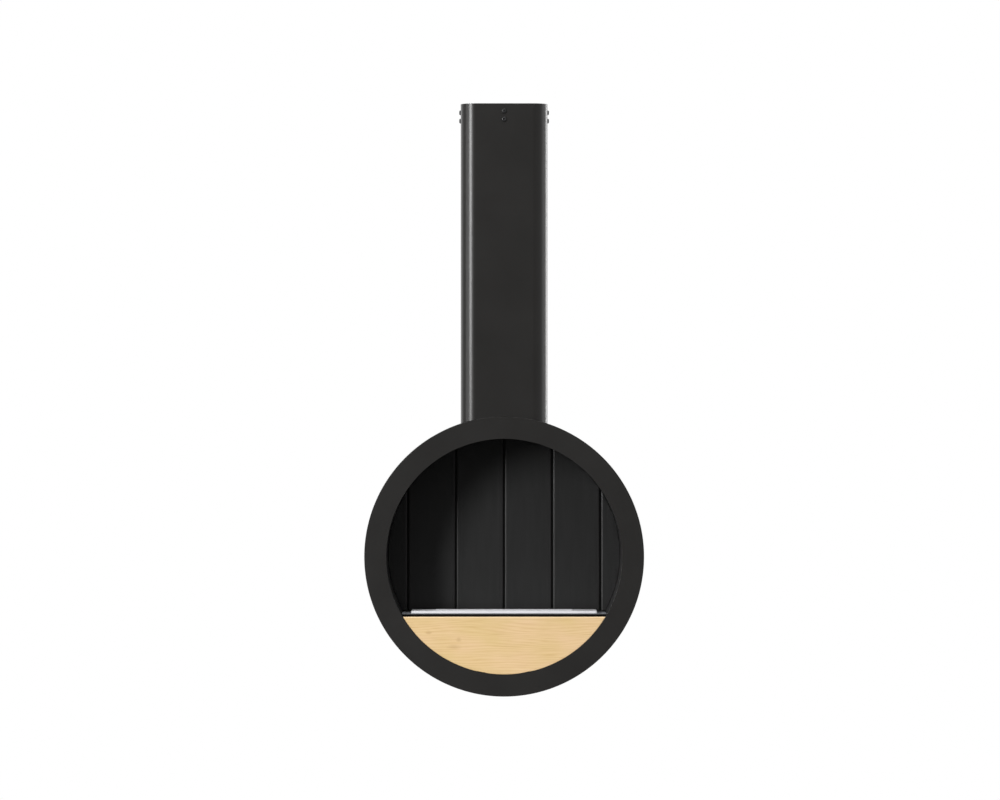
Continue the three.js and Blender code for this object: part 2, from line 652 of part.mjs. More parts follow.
/** The burner's top tray: a plate with folded edges, the flame slot and two hook holes. */
function burnerTray() {
  const outline = (inset) =>
    roundedRectangle(BURNER_W - 2 * inset, BURNER_D - 2 * inset, TRAY_CORNER_R - inset, 0, BURNER_Y);
  const foot = TRAY_TOP_Z - TRAY_H;
  const whole = alongZ(outline(0), foot, TRAY_TOP_Z, BEND_STEPS);
  const hollow = alongZ(outline(TRAY_T), foot - OVERCUT, TRAY_UNDER_Z, BEND_STEPS);
  const slot = roundedRectangle(SLOT_W, SLOT_D, 2 * TRAY_T, 0, BURNER_Y);
  const through = [TRAY_UNDER_Z - OVERCUT, TRAY_TOP_Z + OVERCUT];
  const hookHoles = [-1, 1].map((side) =>
    post(HOOK_HOLE_R, side * (LID_W / 2 + HOOK_HOLE_OFFSET), BURNER_Y, through),
  );
  return cutAll(whole, [hollow, alongZ(slot, ...through, CUTOUT_STEPS), ...hookHoles]);
}

const burnerTank = () => openBox([TANK_W, TANK_D, TANK_T], [TANK_BOTTOM_Z, TANK_TOP_Z]);
const insideTank = (inset) => [
  [TANK_T + inset - TANK_W / 2, TANK_W / 2 - TANK_T - inset],
  [BURNER_Y - TANK_D / 2 + TANK_T + inset, BURNER_Y + TANK_D / 2 - TANK_T - inset],
];

function burnerWool() {
  return block(...insideTank(FIT), [TANK_BOTTOM_Z + TANK_T + FIT, MESH_TOP_Z - MESH_T - FIT]);
}

/** The perforated plate over the wool, with rows of round-ended slots under the flame slot. */
function burnerMesh() {
  const [[x0, x1], [y0, y1]] = insideTank(FIT);
  const plate = polygon([[x0, y0], [x1, y0], [x1, y1], [x0, y1]]);
  const columns = Math.floor(SLOT_W / MESH_PITCH_X);
  for (let row = 0; row < MESH_ROWS; row++) {
    const y = BURNER_Y + (row - (MESH_ROWS - 1) / 2) * MESH_PITCH_Y;
    for (let column = 0; column < columns; column++) {
      const x = (column - (columns - 1) / 2) * MESH_PITCH_X;
      plate.holes.push(
        roundedRectangle(MESH_SLOT_L, MESH_SLOT_D, MESH_SLOT_D / 2 - SLOT_END_FLAT, x, y, THREE.Path),
      );
    }
  }
  return alongZ(plate, MESH_TOP_Z - MESH_T, MESH_TOP_Z, 1);
}

/** The lid that closes the flame slot: a plate, a locating frame under it and two hook slots. */
function burnerLid() {
  const under = TRAY_TOP_Z + FIT;
  const plate = alongZ(
    roundedRectangle(LID_W, LID_D, LID_CORNER_R, 0, BURNER_Y), under, under + LID_T, BEND_STEPS,
  );
  const [w, d] = [SLOT_W - 2 * LID_FRAME_PLAY, SLOT_D - 2 * LID_FRAME_PLAY];
  const deep = (inset) => [BURNER_Y + inset - d / 2, BURNER_Y + d / 2 - inset];
  const frame = block([-w / 2, w / 2], deep(0), [under - LID_FRAME_H, under + LID_T]).subtract(
    block(
      [LID_FRAME_T - w / 2, w / 2 - LID_FRAME_T], deep(LID_FRAME_T),
      [under - LID_FRAME_H - OVERCUT, under],
    ),
  );
  const hooks = [-1, 1].map((side) => {
    const x = side * (LID_W / 2 - HOOK_SLOT_INSET);
    const endR = HOOK_SLOT_D / 2 - SLOT_END_FLAT;
    const slot = roundedRectangle(HOOK_SLOT_W, HOOK_SLOT_D, endR, x, BURNER_Y);
    return alongZ(slot, under - OVERCUT, under + LID_T + OVERCUT, CUTOUT_STEPS);
  });
  return cutAll(plate.add(frame), hooks);
}

// ---------------------------------------------------------------- wooden front
const dowelPlaces = [-DOWEL_SPAN / 2, DOWEL_SPAN / 2];
const magnetPlaces = [-MAGNET_SPAN / 2, MAGNET_SPAN / 2];

/** The wooden front: the part of a disc below a chord, with chamfered edges. */
function woodFront() {
  const r = WOOD_R;
  const lift = Math.asin(-WOOD_TOP_Z / r);
  const shape = new THREE.Shape();
  shape.absarc(0, 0, r, Math.PI + lift, 2 * Math.PI - lift);
  shape.closePath();
  const board = alongY(shape, WOOD_FRONT_Y + WOOD_CHAMFER, WOOD_BACK_Y - WOOD_CHAMFER, {
    curveSegments: WOOD_ARC_STEPS,
    bevelEnabled: true,
    bevelSegments: 1,
    bevelThickness: WOOD_CHAMFER,
    bevelSize: WOOD_CHAMFER,
    bevelOffset: -WOOD_CHAMFER,
  });
  const pocket = (radius, depth) => (x) =>
    pinAlongY(radius + POCKET_PLAY, x, FRONT_RAIL_MID_Z, [
      WOOD_BACK_Y - depth - FIT, WOOD_BACK_Y + OVERCUT,
    ]);
  return cutAll(board, [
    ...dowelPlaces.map(pocket(DOWEL_R, DOWEL_EMBED)),
    ...magnetPlaces.map(pocket(MAGNET_R, MAGNET_T)),
  ]);
}

/** The angle bar behind the front, welded between the sides of the liner. */
function frontRail() {
  const bottom = FRONT_RAIL_TOP_Z - FRONT_RAIL_H;
  const profile = polygon([
    [FRONT_RAIL_Y, bottom],
    [FRONT_RAIL_Y + FRONT_RAIL_LEG, bottom],
    [FRONT_RAIL_Y + FRONT_RAIL_LEG, bottom + FRONT_RAIL_T],
    [FRONT_RAIL_Y + FRONT_RAIL_T, bottom + FRONT_RAIL_T],
    [FRONT_RAIL_Y + FRONT_RAIL_T, FRONT_RAIL_TOP_Z],
    [FRONT_RAIL_Y, FRONT_RAIL_TOP_Z],
  ]);
  const round = disc(LINER_R - FIT, FRONT_Y, FRONT_RAIL_Y + FRONT_RAIL_LEG + OVERCUT);
  const bar = alongX(profile, -LINER_R, LINER_R).intersect(round);
  const ends = [FRONT_RAIL_Y - OVERCUT, FRONT_RAIL_Y + FRONT_RAIL_T + OVERCUT];
  return cutAll(bar, dowelPlaces.map((x) => pinAlongY(DOWEL_R + FIT, x, FRONT_RAIL_MID_Z, ends)));
}

const frontDowel = (x) =>
  pinAlongY(DOWEL_R, x, FRONT_RAIL_MID_Z, [
    WOOD_BACK_Y - DOWEL_EMBED, FRONT_RAIL_Y + FRONT_RAIL_T + DOWEL_REACH,
  ]);
const frontMagnet = (x) =>
  pinAlongY(MAGNET_R, x, FRONT_RAIL_MID_Z, [WOOD_BACK_Y - MAGNET_T, WOOD_BACK_Y]);

// ---------------------------------------------------------------- assembly
const ceiling = new THREE.Group();
ceiling.add(mesh("ceiling_plate", ceilingPlate(), zincSteel));
ceiling.add(mesh("ceiling_sleeve", ceilingSleeve(), zincSteel));
ceiling.add(mesh("column_tube", columnTube(), blackPaint));
const m8Screw = buttonScrew(M8);
for (const { side, turn, x, y } of COLUMN_FACES) {
  for (const [level, drop] of Object.entries(COLUMN_SCREW_DROPS)) {
    const screw = mesh(`column_screw_${side}_${level}`, m8Screw, blackScrew);
    screw.position.set(x * (COLUMN_W / 2 + FIT), y * (COLUMN_D / 2 + FIT), -drop);
    screw.rotation.z = turn;
    ceiling.add(screw);
  }
}

const drum = new THREE.Group();
drum.position.z = -DRUM_DROP;
drum.add(mesh("column_foot", columnFoot(), zincSteel));
drum.add(mesh("hanger_plate", hangerPlate(), zincSteel));
boltPlaces.forEach(([x, y], i) => {
  drum.add(mesh(`hanger_bolt_${i + 1}`, hangerBolt(x, y), zincSteel));
  drum.add(mesh(`foot_nut_${i + 1}`, footNut(x, y), zincSteel));
});
drum.add(mesh("front_ring", frontRing(), blackPaint));
drum.add(mesh("outer_shell", outerShell(), blackPaint));
drum.add(mesh("firebox_liner", fireboxLiner(), blackPaint));
drum.add(mesh("bulkhead", bulkhead(), blackPaint));
drum.add(mesh("insulation_board", insulationBoard(), vermiculite));
drum.add(mesh("insulation_blanket", insulationBlanket(), ceramicWool));
drum.add(mesh("rear_cover", rearCover(), blackPaint));
drum.add(mesh("rear_flange", rearFlange(), blackPaint));
const m5Screw = buttonScrew(M5);
rearScrewPlaces.forEach(([x, z], i) => {
  const screw = mesh(`rear_screw_${i + 1}`, m5Screw, blackScrew);
  screw.position.set(x, REAR_Y + FIT, z);
  drum.add(screw);
});
for (const [name, level] of Object.entries(RAIL_LEVELS)) {
  drum.add(mesh(`panel_rail_${name}`, panelRail(level), blackPaint));
}
const edges = panelEdges();
edges.slice(1).forEach((right, i) => {
  const [first, last] = [i === 0, i === edges.length - 2];
  const x0 = edges[i] + (first ? 0 : PANEL_GAP / 2);
  const x1 = right - (last ? 0 : PANEL_GAP / 2);
  drum.add(mesh(`back_panel_${i + 1}`, backPanel(x0, x1, !first, !last), blackPaint));
});
drum.add(mesh("shelf", shelf(), blackPaint));
drum.add(mesh("shelf_bracket_left", shelfBracket(-1), blackPaint));
drum.add(mesh("shelf_bracket_right", shelfBracket(1), blackPaint));
drum.add(mesh("spill_tray", spillTray(), blackPaint));
drum.add(mesh("front_rail", frontRail(), blackPaint));

const burner = new THREE.Group(); // lifts out of the shelf
burner.add(mesh("burner_tray", burnerTray(), stainless));
burner.add(mesh("burner_tank", burnerTank(), stainless));
burner.add(mesh("burner_wool", burnerWool(), ceramicWool));
burner.add(mesh("burner_mesh", burnerMesh(), stainless));
burner.add(mesh("burner_lid", burnerLid(), stainless)); // lifts off the burner
drum.add(burner);

const front = new THREE.Group(); // pulls off towards -Y
front.add(mesh("wood_front", woodFront(), oak));
["left", "right"].forEach((side, i) => {
  front.add(mesh(`front_dowel_${side}`, frontDowel(dowelPlaces[i]), beech));
  front.add(mesh(`front_magnet_${side}`, frontMagnet(magnetPlaces[i]), magnetNickel));
});
drum.add(front);

const fireplace = new THREE.Group();
fireplace.add(ceiling, drum);

export default fireplace;
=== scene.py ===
"""A suspended round fireplace with an ethanol burner: its surfaces, finishes, light and camera.

Lengths are millimetres until a mesh is made. The origin is on the ceiling, on the column's axis; +Z is
up and the drum's open front faces -Y. Heights of the drum's parts count from the drum's axis.
"""
import json
import math

import bmesh
import bpy
import numpy as np
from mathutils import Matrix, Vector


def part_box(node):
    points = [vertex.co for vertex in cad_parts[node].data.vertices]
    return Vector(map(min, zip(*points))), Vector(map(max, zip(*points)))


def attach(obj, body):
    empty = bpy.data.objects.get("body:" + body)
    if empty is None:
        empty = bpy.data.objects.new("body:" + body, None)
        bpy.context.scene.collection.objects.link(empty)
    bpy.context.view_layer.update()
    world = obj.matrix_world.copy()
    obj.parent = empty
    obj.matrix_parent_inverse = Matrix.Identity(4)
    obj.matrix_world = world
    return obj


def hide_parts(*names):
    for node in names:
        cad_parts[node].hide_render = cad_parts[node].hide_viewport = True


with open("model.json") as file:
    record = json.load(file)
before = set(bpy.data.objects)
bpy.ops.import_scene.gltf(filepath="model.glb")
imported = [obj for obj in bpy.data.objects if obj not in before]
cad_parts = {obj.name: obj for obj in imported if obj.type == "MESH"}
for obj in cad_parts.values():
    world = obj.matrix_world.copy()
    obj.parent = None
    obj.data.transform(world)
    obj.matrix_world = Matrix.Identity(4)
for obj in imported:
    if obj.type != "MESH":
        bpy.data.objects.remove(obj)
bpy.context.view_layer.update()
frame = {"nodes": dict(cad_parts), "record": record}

MM = 0.001

# ------------------------------------------------------------------ sizes, the CAD model's unless noted
FIT = 0.3  # gap between pieces that sit against each other
DRUM_R = 400
DRUM_DROP = 1300  # ceiling to the drum's axis
FRONT_Y, REAR_Y = -150, 150
SHELL_T = 3
RING_W = 63
RING_T = 3
RING_FLANGE_T = 2.5
RING_FLANGE_DEPTH = 30
RING_EDGE_R = 0.6  # rounding of the ring's outer edge, 2.5 in the CAD model
RING_LIP_R = 0.35  # and of its inner edge, sharp in the CAD model
LINER_T = 2
OPENING_R = DRUM_R - RING_W
LINER_R = OPENING_R + FIT
COLLAR_R = LINER_R + LINER_T + FIT
SHELL_FRONT_Y = FRONT_Y + RING_T + FIT

FIREBOX_DEPTH = 215
PANEL_COUNT = 6
END_PANEL_W = 57.3
PANEL_GAP = 3  # 2 in the CAD model
PANEL_T = 1.5
PANEL_BEND_R = 5  # 4 in the CAD model
PANEL_FOLD = 16  # depth of the folded edges
PANEL_END_GAP = 1  # panel to the liner and to the shelf
PANEL_R = LINER_R - PANEL_END_GAP
PANEL_PITCH = 2 * (LINER_R - END_PANEL_W) / (PANEL_COUNT - 2)
PANEL_Y = FRONT_Y + FIREBOX_DEPTH
PANEL_REAR_Y = PANEL_Y + PANEL_FOLD
RAIL_LEVELS = (-110, 140)  # floors of the rails' channels
RAIL_T = 2
RAIL_CHANNEL = 4  # between the rail's lip and its plate
RAIL_LIP_H = 12
RAIL_PLATE_Y = PANEL_REAR_Y + FIT
RAIL_LIP_Y = RAIL_PLATE_Y - RAIL_CHANNEL - RAIL_T
BULKHEAD_Y = RAIL_PLATE_Y + RAIL_T + FIT
HOOK_PLAY = 2  # what a panel is lifted beyond the lip to come off
HOOK_Y = (RAIL_LIP_Y - FIT, RAIL_LIP_Y + RAIL_T + FIT)  # slot for a rail's lip
HOOK_BELOW = RAIL_T + RAIL_LIP_H + HOOK_PLAY  # notch under a channel's floor
HOOK_ABOVE = RAIL_LIP_H + FIT  # slot over it

COLUMN_W, COLUMN_D = 250, 180
COLUMN_CORNER_R = 43
COLUMN_T = 3
COLUMN_TOP_Z = -0.5
COLUMN_SCREW_DROPS = (22, 46)  # below the ceiling
SIDES = {"front": (0, -1), "rear": (0, 1), "left": (-1, 0), "right": (1, 0)}  # outward, in plan
BOLT_SPAN_X, BOLT_SPAN_Y = 140, 90
BOLT_HOLE_R = 5.5
SCREW_HOLE_PLAY = 0.5
# shank, head and socket are radii
COLUMN_SCREW = {"shank": 4, "length": 16, "head": 7, "height": 4.4, "socket": 2.5, "deep": 2.6}
REAR_SCREW = {"shank": 2.5, "length": 10, "head": 4.75, "height": 2.75, "socket": 1.5, "deep": 1.6}
REAR_SCREW_COUNT = 6

SHELF_TOP_Z = -164
SHELF_PAINT_W = 16  # painted front edge of the shelf
PANEL_SHADE_SPAN = (110, 60)  # before the panels: where the painted shade, black paint towards the panels, starts on the shelf and where it is full
BURNER_W, BURNER_D = 533.4, 102
BURNER_Y = -59
TRAY_H = 7
TRAY_TOP_Z = SHELF_TOP_Z + FIT + TRAY_H
TRAY_T = 1.5
TRAY_CORNER_R = 4
TRAY_BEND_R = 2
SLOT_W, SLOT_D, SLOT_CORNER_R = 377.4, 36, 3  # flame slot
LID_LAP = 8  # lid's edge beyond the flame slot's
LID_W, LID_D, LID_CORNER_R = SLOT_W + 2 * LID_LAP, SLOT_D + 2 * LID_LAP, 4
LID_T = 1.5
LID_UNDER_Z = TRAY_TOP_Z + FIT
LID_FRAME_H = 5
LID_FRAME_ROOT = 0.4  # what the frame reaches into the lid's plate
LID_FRAME_PLAY = 1
LID_FRAME_CORNER_R = 0.5
LIFT_SLOT_W, LIFT_SLOT_D = 11, 5  # in the lid, for a hook
LIFT_SLOT_X = LID_W / 2 - 24
LIFT_HOLE_R = 5  # in the tray, beyond the lid's ends
LIFT_HOLE_X = LID_W / 2 + 7

WOOD_R = OPENING_R - FIT  # 1.2 less in the CAD model
WOOD_RECESS = 1.5  # behind the ring's face
WOOD_FRONT_Y = FRONT_Y + WOOD_RECESS
WOOD_T = 20
WOOD_TOP_Z = -172
WOOD_EDGE_R = 0.8  # a chamfer of 1 in the CAD model
EDGE_HIGHLIGHT_H = 3.5  # painted highlight: a lighter band along the wood's top edge
EDGE_HIGHLIGHT_Z = WOOD_TOP_Z - EDGE_HIGHLIGHT_H - DRUM_DROP
POCKET_Z = -213  # dowels and magnets behind the wooden front
DOWEL_POCKET = {"x": 180, "r": 4.4, "deep": 12.3}
MAGNET_POCKET = {"x": 100, "r": 10.4, "deep": 5.3}
GROWTH_PITCH = 7.854  # rings of growth in the veneer
KNOTS = ((-216, -1517, 7, 4.5), (-130, -1537, 6, 5), (-143, -1558, 16, 5))  # x, z and half sizes
CROWNS = (  # x, z, half sizes and how many rings more
    (110, -1512, 150, 17, 1.6), (150, -1552, 110, 13, 1.2), (-95, -1500, 90, 14, -1.0),
)

# ------------------------------------------------------------------ grids
TURN_STEPS = 240  # round the drum
SHELL_STEP = 1.5  # degrees, in the shell's grid
BEND_STEPS = 8  # in a quarter circle
COLUMN_BEND_STEPS = 16
SCREW_STEPS = 36  # round a screw
HOLE_LINES = np.array([-10, -5, 0, 5, 10])  # round a hole, from its centre
SLOT_LINES = np.array([-9, -6, -3, 0, 3, 6, 9])  # along a lifting slot, and half as far apart across it
POCKET_LINES = np.array([-14, -7, -3.5, 0, 3.5, 7, 14])  # round a pocket, from its centre
WELD_GAP = 0.002
SHARP_FROM = math.radians(35)  # faces that meet at less are smooth
ROUNDED_FROM = math.radians(50)  # a sheet's edges are rounded where its faces meet at more

# ------------------------------------------------------------------ view and light, in metres
CAMERA_PLACE = (-0.0119, -13.01, -0.8522)
LENS, SENSOR_W = 162, 36  # mm
FLOOR_Z = -2.9
FLOOR_RADII = (0.0, 1.5, 3.0, 6.0, 30.0)
FLOOR_FADE = (0.6, 2.4)  # from the column's axis, where the floor starts to turn white and where it is
FILL = 0.95  # light from above the horizon
FLOOR_FILL = 0.03  # what the far floor gives to the object as light
ROOM_GLOSS = 0.05  # what the room behind the camera gives to reflections
WHITE = (1, 1, 1, 1)
SOFTBOXES = (  # name, width, height, radiance, azimuth, elevation, distance and the height aimed at
    ("key_softbox", 2.7, 4.8, 21.6, -40, 12.5, 11.0, -1.0),
    ("front_softbox", 3.0, 2.6, 0.15, 45, 5, 4.0, -0.8),
    ("left_softbox", 1.1, 2.4, 2.2, -70, 5, 4.0, -0.8),
    ("right_softbox", 0.7, 2.4, 1.2, 88, 5, 4.0, -0.8),
    ("rim_softbox", 1.0, 2.6, 5.0, 132, 0, 3.0, -0.8),
    ("top_softbox", 3.0, 3.0, 1.5, 0, 90, 2.6, -0.8),
    ("rear_softbox", 1.6, 2.4, 0.3, -140, 0, 3.5, -0.8),
)

BODIES = frame["record"]["behaviour"]["bodies"]
SLOTS = {name: node.material_slots[0].material.name for name, node in frame["nodes"].items()}


# ------------------------------------------------------------------ surfaces
def grid(points):
    """Vertices and faces of a grid of points: one quad between each four neighbours."""
    rows, columns = points.shape[:2]
    index = np.arange(rows * columns).reshape(rows, columns)
    quads = np.stack([index[:-1, :-1], index[:-1, 1:], index[1:, 1:], index[1:, :-1]], -1)
    return points.reshape(-1, 3), quads.reshape(-1, 4)


def strip(a, b):
    """Quads between two closed rings of vertex numbers."""
    return np.stack([a, np.roll(a, -1), np.roll(b, -1), b], -1)


def hole(row, column, cells, centre, half, **more):
    """A hole for pierced(): a square block of cells from a row and a column on, its centre and half sizes."""
    block = {"rows": (row, row + cells), "columns": (column, column + cells)}
    return {**block, "centre": centre, "half": half, **more}


def pierced(points, holes=(), notches=()):
    """A grid of points with holes and notches. A notch takes out a block of cells. So does a hole, and its
    rim is the block's edge drawn in: each point of it slides towards the centre until
    |dx/a|^n + |dy/b|^n + |dz/c|^n = 1, a circle for n = 2 and a round-ended slot for n = 4. A sunk hole has
    a wall and a floor."""
    vertices, quads = grid(points)
    rows, columns = points.shape[:2]
    index = np.arange(rows * columns).reshape(rows, columns)
    kept = np.ones((rows - 1, columns - 1), bool)
    faces = []
    for (r0, r1), (c0, c1) in notches:
        kept[r0:r1, c0:c1] = False
    for cut in holes:
        (r0, r1), (c0, c1) = cut["rows"], cut["columns"]
        kept[r0:r1, c0:c1] = False
        edge = np.concatenate(
            [index[r0, c0:c1], index[r0:r1, c1], index[r1, c1:c0:-1], index[r1:r0:-1, c0]]
        )
        offset = vertices[edge] - cut["centre"]
        power = cut.get("power", 2)
        reach = (np.abs(offset / cut["half"]) ** power).sum(-1) ** (1 / power)
        rings = [cut["centre"] + offset / reach[:, None]]
        if "sunk" in cut:
            rings.append(rings[0] + cut["sunk"])
            rings.append(rings[1] * 0 + cut["centre"] + cut["sunk"])
        added = (len(vertices) + len(edge) * k + np.arange(len(edge)) for k in range(len(rings)))
        numbers = [edge, *added]
        faces += [strip(a, b) for a, b in zip(numbers, numbers[1:])]
        vertices = np.concatenate([vertices, *rings])
    return vertices, np.concatenate([quads[kept.ravel()], *faces])


def arc(centre, r, start, end, steps=BEND_STEPS):
    """Points of an arc in a plane, from one angle in degrees to another."""
    angle = np.radians(np.linspace(start, end, steps + 1))
    return np.array(centre) + r * np.stack([np.cos(angle), np.sin(angle)], -1)


def turned(profile):
    """A closed profile of (radius, y) points carried round the drum's axis, which runs along Y."""
    profile = np.concatenate([profile, profile[:1]])
    angle = np.linspace(0, 2 * np.pi, TURN_STEPS + 1)
    r, y = profile[:, :1], profile[:, 1:]
    return grid(np.stack([r * np.sin(angle), y + 0 * angle, r * np.cos(angle) - DRUM_DROP], -1))


def corner_loop(xs, ys, steps=BEND_STEPS):
    """A closed loop round a rectangle with round corners, counterclockwise from above, as the places that it
    bends about and its outward directions: place + r * direction is the loop with corners of radius r.
    xs and ys are where its points stand along the straight sides. It starts on the right side."""
    turn = np.linspace(0, np.pi / 2, steps + 1)[1:-1]
    along_x, along_y, bend = 0 * xs, 0 * ys, 0 * turn
    x, y = xs[-1], ys[-1]
    quarter = np.pi / 2
    angle = np.concatenate([
        along_y, turn, along_x + quarter, turn + quarter, along_y + 2 * quarter, turn + 2 * quarter,
        along_x + 3 * quarter, turn + 3 * quarter, [0],
    ])
    place_x = np.concatenate([
        along_y + x, bend + x, xs[::-1], bend - x, along_y - x, bend - x, xs, bend + x, [x],
    ])
    place_y = np.concatenate([
        ys, bend + y, along_x + y, bend + y, ys[::-1], bend - y, along_x - y, bend - y, [ys[0]],
    ])
    return np.stack([place_x, place_y], -1), np.stack([np.cos(angle), np.sin(angle)], -1)


def raised(loop, heights):
    """A loop in plan carried up through heights: one height, or one for each of its points."""
    return np.stack([np.column_stack([loop, np.broadcast_to(z, len(loop))]) for z in heights])


def both_sides(values, middle):
    """Values to the right of zero with their mirror image to the left of it, and the values between."""
    return np.concatenate([-values[::-1], middle, values])


def nearest(values, wanted):
    """The number of the value that is nearest to a wanted one."""
    return int(np.argmin(np.abs(values - wanted)))


# ------------------------------------------------------------------ pieces
def make(node, patches, material, wall=0, edge=0):
    """A piece that stands for a CAD node: patches in millimetres, welded and smooth between sharp edges. wall
    is the thickness of a sheet, inwards from its faces, and edge the rounding of its cut edges."""
    count = np.cumsum([0, *(len(vertices) for vertices, _ in patches)])
    mesh = bpy.data.meshes.new(node + "_form")
    mesh.from_pydata(
        np.concatenate([vertices for vertices, _ in patches]) * MM, [],
        np.concatenate([faces + start for (_, faces), start in zip(patches, count)]),
    )
    welded = bmesh.new()
    welded.from_mesh(mesh)
    bmesh.ops.remove_doubles(welded, verts=welded.verts, dist=WELD_GAP * MM)
    welded.to_mesh(mesh)
    welded.free()
    mesh.shade_smooth()
    mesh.set_sharp_from_angle(angle=SHARP_FROM)
    mesh.materials.append(material)
    piece = bpy.data.objects.new(node + "_form", mesh)
    bpy.context.scene.collection.objects.link(piece)
    if wall:
        sheet = piece.modifiers.new("sheet_thickness", "SOLIDIFY")
        sheet.thickness = wall * MM
        sheet.offset = -1
        sheet.use_even_offset = True
    if edge:
        rounding = piece.modifiers.new("cut_edges", "BEVEL")
        rounding.width = edge * MM
        rounding.segments = 2
        rounding.limit_method = "ANGLE"
        rounding.angle_limit = ROUNDED_FROM
    piece.modifiers.new("face_normals", "WEIGHTED_NORMAL").keep_sharp = True
    body = next(name for name, members in BODIES.items() if node in members)
    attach(piece, body)
    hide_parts(node)


def column_tube(material):
    """The loop round the column, carried from the saddle on the drum up past the screw holes to the top
    edge. The saddle is the drum's circle seen from the front: z = sqrt(R^2 - x^2)."""
    flat_x, flat_y = COLUMN_W / 2 - COLUMN_CORNER_R, COLUMN_D / 2 - COLUMN_CORNER_R
    xs = np.array([-flat_x, *HOLE_LINES, flat_x])
    ys = np.array([-flat_y, *HOLE_LINES, flat_y])
    place, direction = corner_loop(xs, ys, COLUMN_BEND_STEPS)
    loop = place + COLUMN_CORNER_R * direction
    saddle = np.sqrt((DRUM_R + FIT) ** 2 - loop[:, 0] ** 2) - DRUM_DROP
    drops = COLUMN_SCREW_DROPS[::-1]
    at_screws = [line - drop for drop in drops for line in HOLE_LINES]
    below = [saddle + (at_screws[0] - saddle) * share for share in (0, 0.25, 0.5, 0.75)]
    points = raised(loop, [*below, *at_screws, COLUMN_TOP_Z])
    holes = []
    for number, side in enumerate(("right", "rear", "left", "front")):  # as the loop runs
        x, y = SIDES[side]
        column = 1 + number * (len(xs) + COLUMN_BEND_STEPS - 1)
        for level, drop in enumerate(drops):
            holes.append(hole(
                len(below) + level * len(HOLE_LINES), column, len(HOLE_LINES) - 1,
                (x * COLUMN_W / 2, y * COLUMN_D / 2, -drop), COLUMN_SCREW["shank"] + SCREW_HOLE_PLAY,
            ))
    make("column_tube", [pierced(points, holes)], material, wall=COLUMN_T, edge=0.6)


def button_screw(node, seat, outward, size, material):
    """A button-head screw: rings carried along its axis, from the end of its shank over the head into the
    socket. The socket's rings are hexagons, r = a / cos(angle from the nearest flat), and the rest
    circles."""
    head, height, shank, socket = size["head"], size["height"], size["shank"], size["socket"]
    tip, tip_chamfer = -size["length"], shank / 5
    flat, rim, rim_chamfer = head / 2, height / 5, 0.2
    mouth_chamfer, floor, drill_point = 0.25, height - size["deep"], 0.6
    dome = arc((0, 0), 1, 0, 90) * (head - flat, height - rim) + (flat, rim)
    rings = np.array([  # radius, height over the seat, and 1 for a hexagon
        (0, tip, 0), (shank - tip_chamfer, tip, 0), (shank, tip + tip_chamfer, 0), (shank, 0, 0),
        (head - rim_chamfer, 0, 0), (head, rim_chamfer, 0), *np.column_stack([dome, 0 * dome[:, 0]]),
        (socket + mouth_chamfer, height, 1), (socket, height - mouth_chamfer, 1), (socket, floor, 1),
        (0, floor - drill_point, 0),
    ])
    angle = np.linspace(0, 2 * np.pi, SCREW_STEPS + 1)
    hexagon = 1 / np.cos((angle % (np.pi / 3)) - np.pi / 6)
    r = rings[:, :1] * (1 + rings[:, 2:] * (hexagon - 1))
    up = np.array((0, 0, 1))
    outward = np.array(outward, float)
    side = np.cross(up, outward)
    across = side * np.cos(angle)[:, None] + up * np.sin(angle)[:, None]
    points = np.array(seat) + r[..., None] * across + rings[:, 1, None, None] * outward
    make(node, [grid(points)], material)


def front_ring(material):
    """The ring's section, a flat face between two rounded edges with a flange behind each, turned."""
    back, flange_end = FRONT_Y + RING_T, FRONT_Y + RING_FLANGE_DEPTH
    shell_side = DRUM_R - SHELL_T - FIT
    section = np.concatenate([
        arc((OPENING_R + RING_LIP_R, FRONT_Y + RING_LIP_R), RING_LIP_R, 180, 270),
        arc((DRUM_R - RING_EDGE_R, FRONT_Y + RING_EDGE_R), RING_EDGE_R, -90, 0),
        [
            (DRUM_R, back), (shell_side, back), (shell_side, flange_end),
            (shell_side - RING_FLANGE_T, flange_end), (shell_side - RING_FLANGE_T, back),
            (COLLAR_R + RING_FLANGE_T, back), (COLLAR_R + RING_FLANGE_T, flange_end),
            (COLLAR_R, flange_end), (COLLAR_R, back), (OPENING_R, back),
        ],
    ])
    make("front_ring", [turned(section)], material)


def outer_shell(material):
    """The shell: a flat sheet of angle and depth rolled to the drum's radius, with the four bolt holes at the
    crown, under the column."""
    bolt = math.asin(BOLT_SPAN_X / 2 / DRUM_R)
    lines = HOLE_LINES / DRUM_R
    crown = 14  # degrees to each side of the top, which the bolt holes take up
    angles = np.sort(np.concatenate([
        np.radians([0, 5, 355, 360]), bolt + lines, 2 * np.pi - bolt + lines,
        np.radians(np.arange(crown, 360 - crown, SHELL_STEP)),
    ]))
    bolt_ys = (-BOLT_SPAN_Y / 2, BOLT_SPAN_Y / 2)
    depths = np.array([SHELL_FRONT_Y, *(HOLE_LINES + bolt_ys[0]), 0, *(HOLE_LINES + bolt_ys[1]), REAR_Y])
    x, z = DRUM_R * np.sin(angles), DRUM_R * np.cos(angles) - DRUM_DROP
    points = np.stack([x + 0 * depths[:, None], depths[:, None] + 0 * x, z + 0 * depths[:, None]], -1)
    bolt_z = math.sqrt(DRUM_R**2 - (BOLT_SPAN_X / 2) ** 2) - DRUM_DROP
    holes = [
        hole(
            nearest(depths, y + HOLE_LINES[0]), nearest(angles, (side * bolt + lines[0]) % (2 * np.pi)),
            len(HOLE_LINES) - 1, (side * BOLT_SPAN_X / 2, y, bolt_z), BOLT_HOLE_R,
        )
        for side in (-1, 1) for y in bolt_ys
    ]
    make("outer_shell", [pierced(points, holes)], material, wall=SHELL_T, edge=0.5)


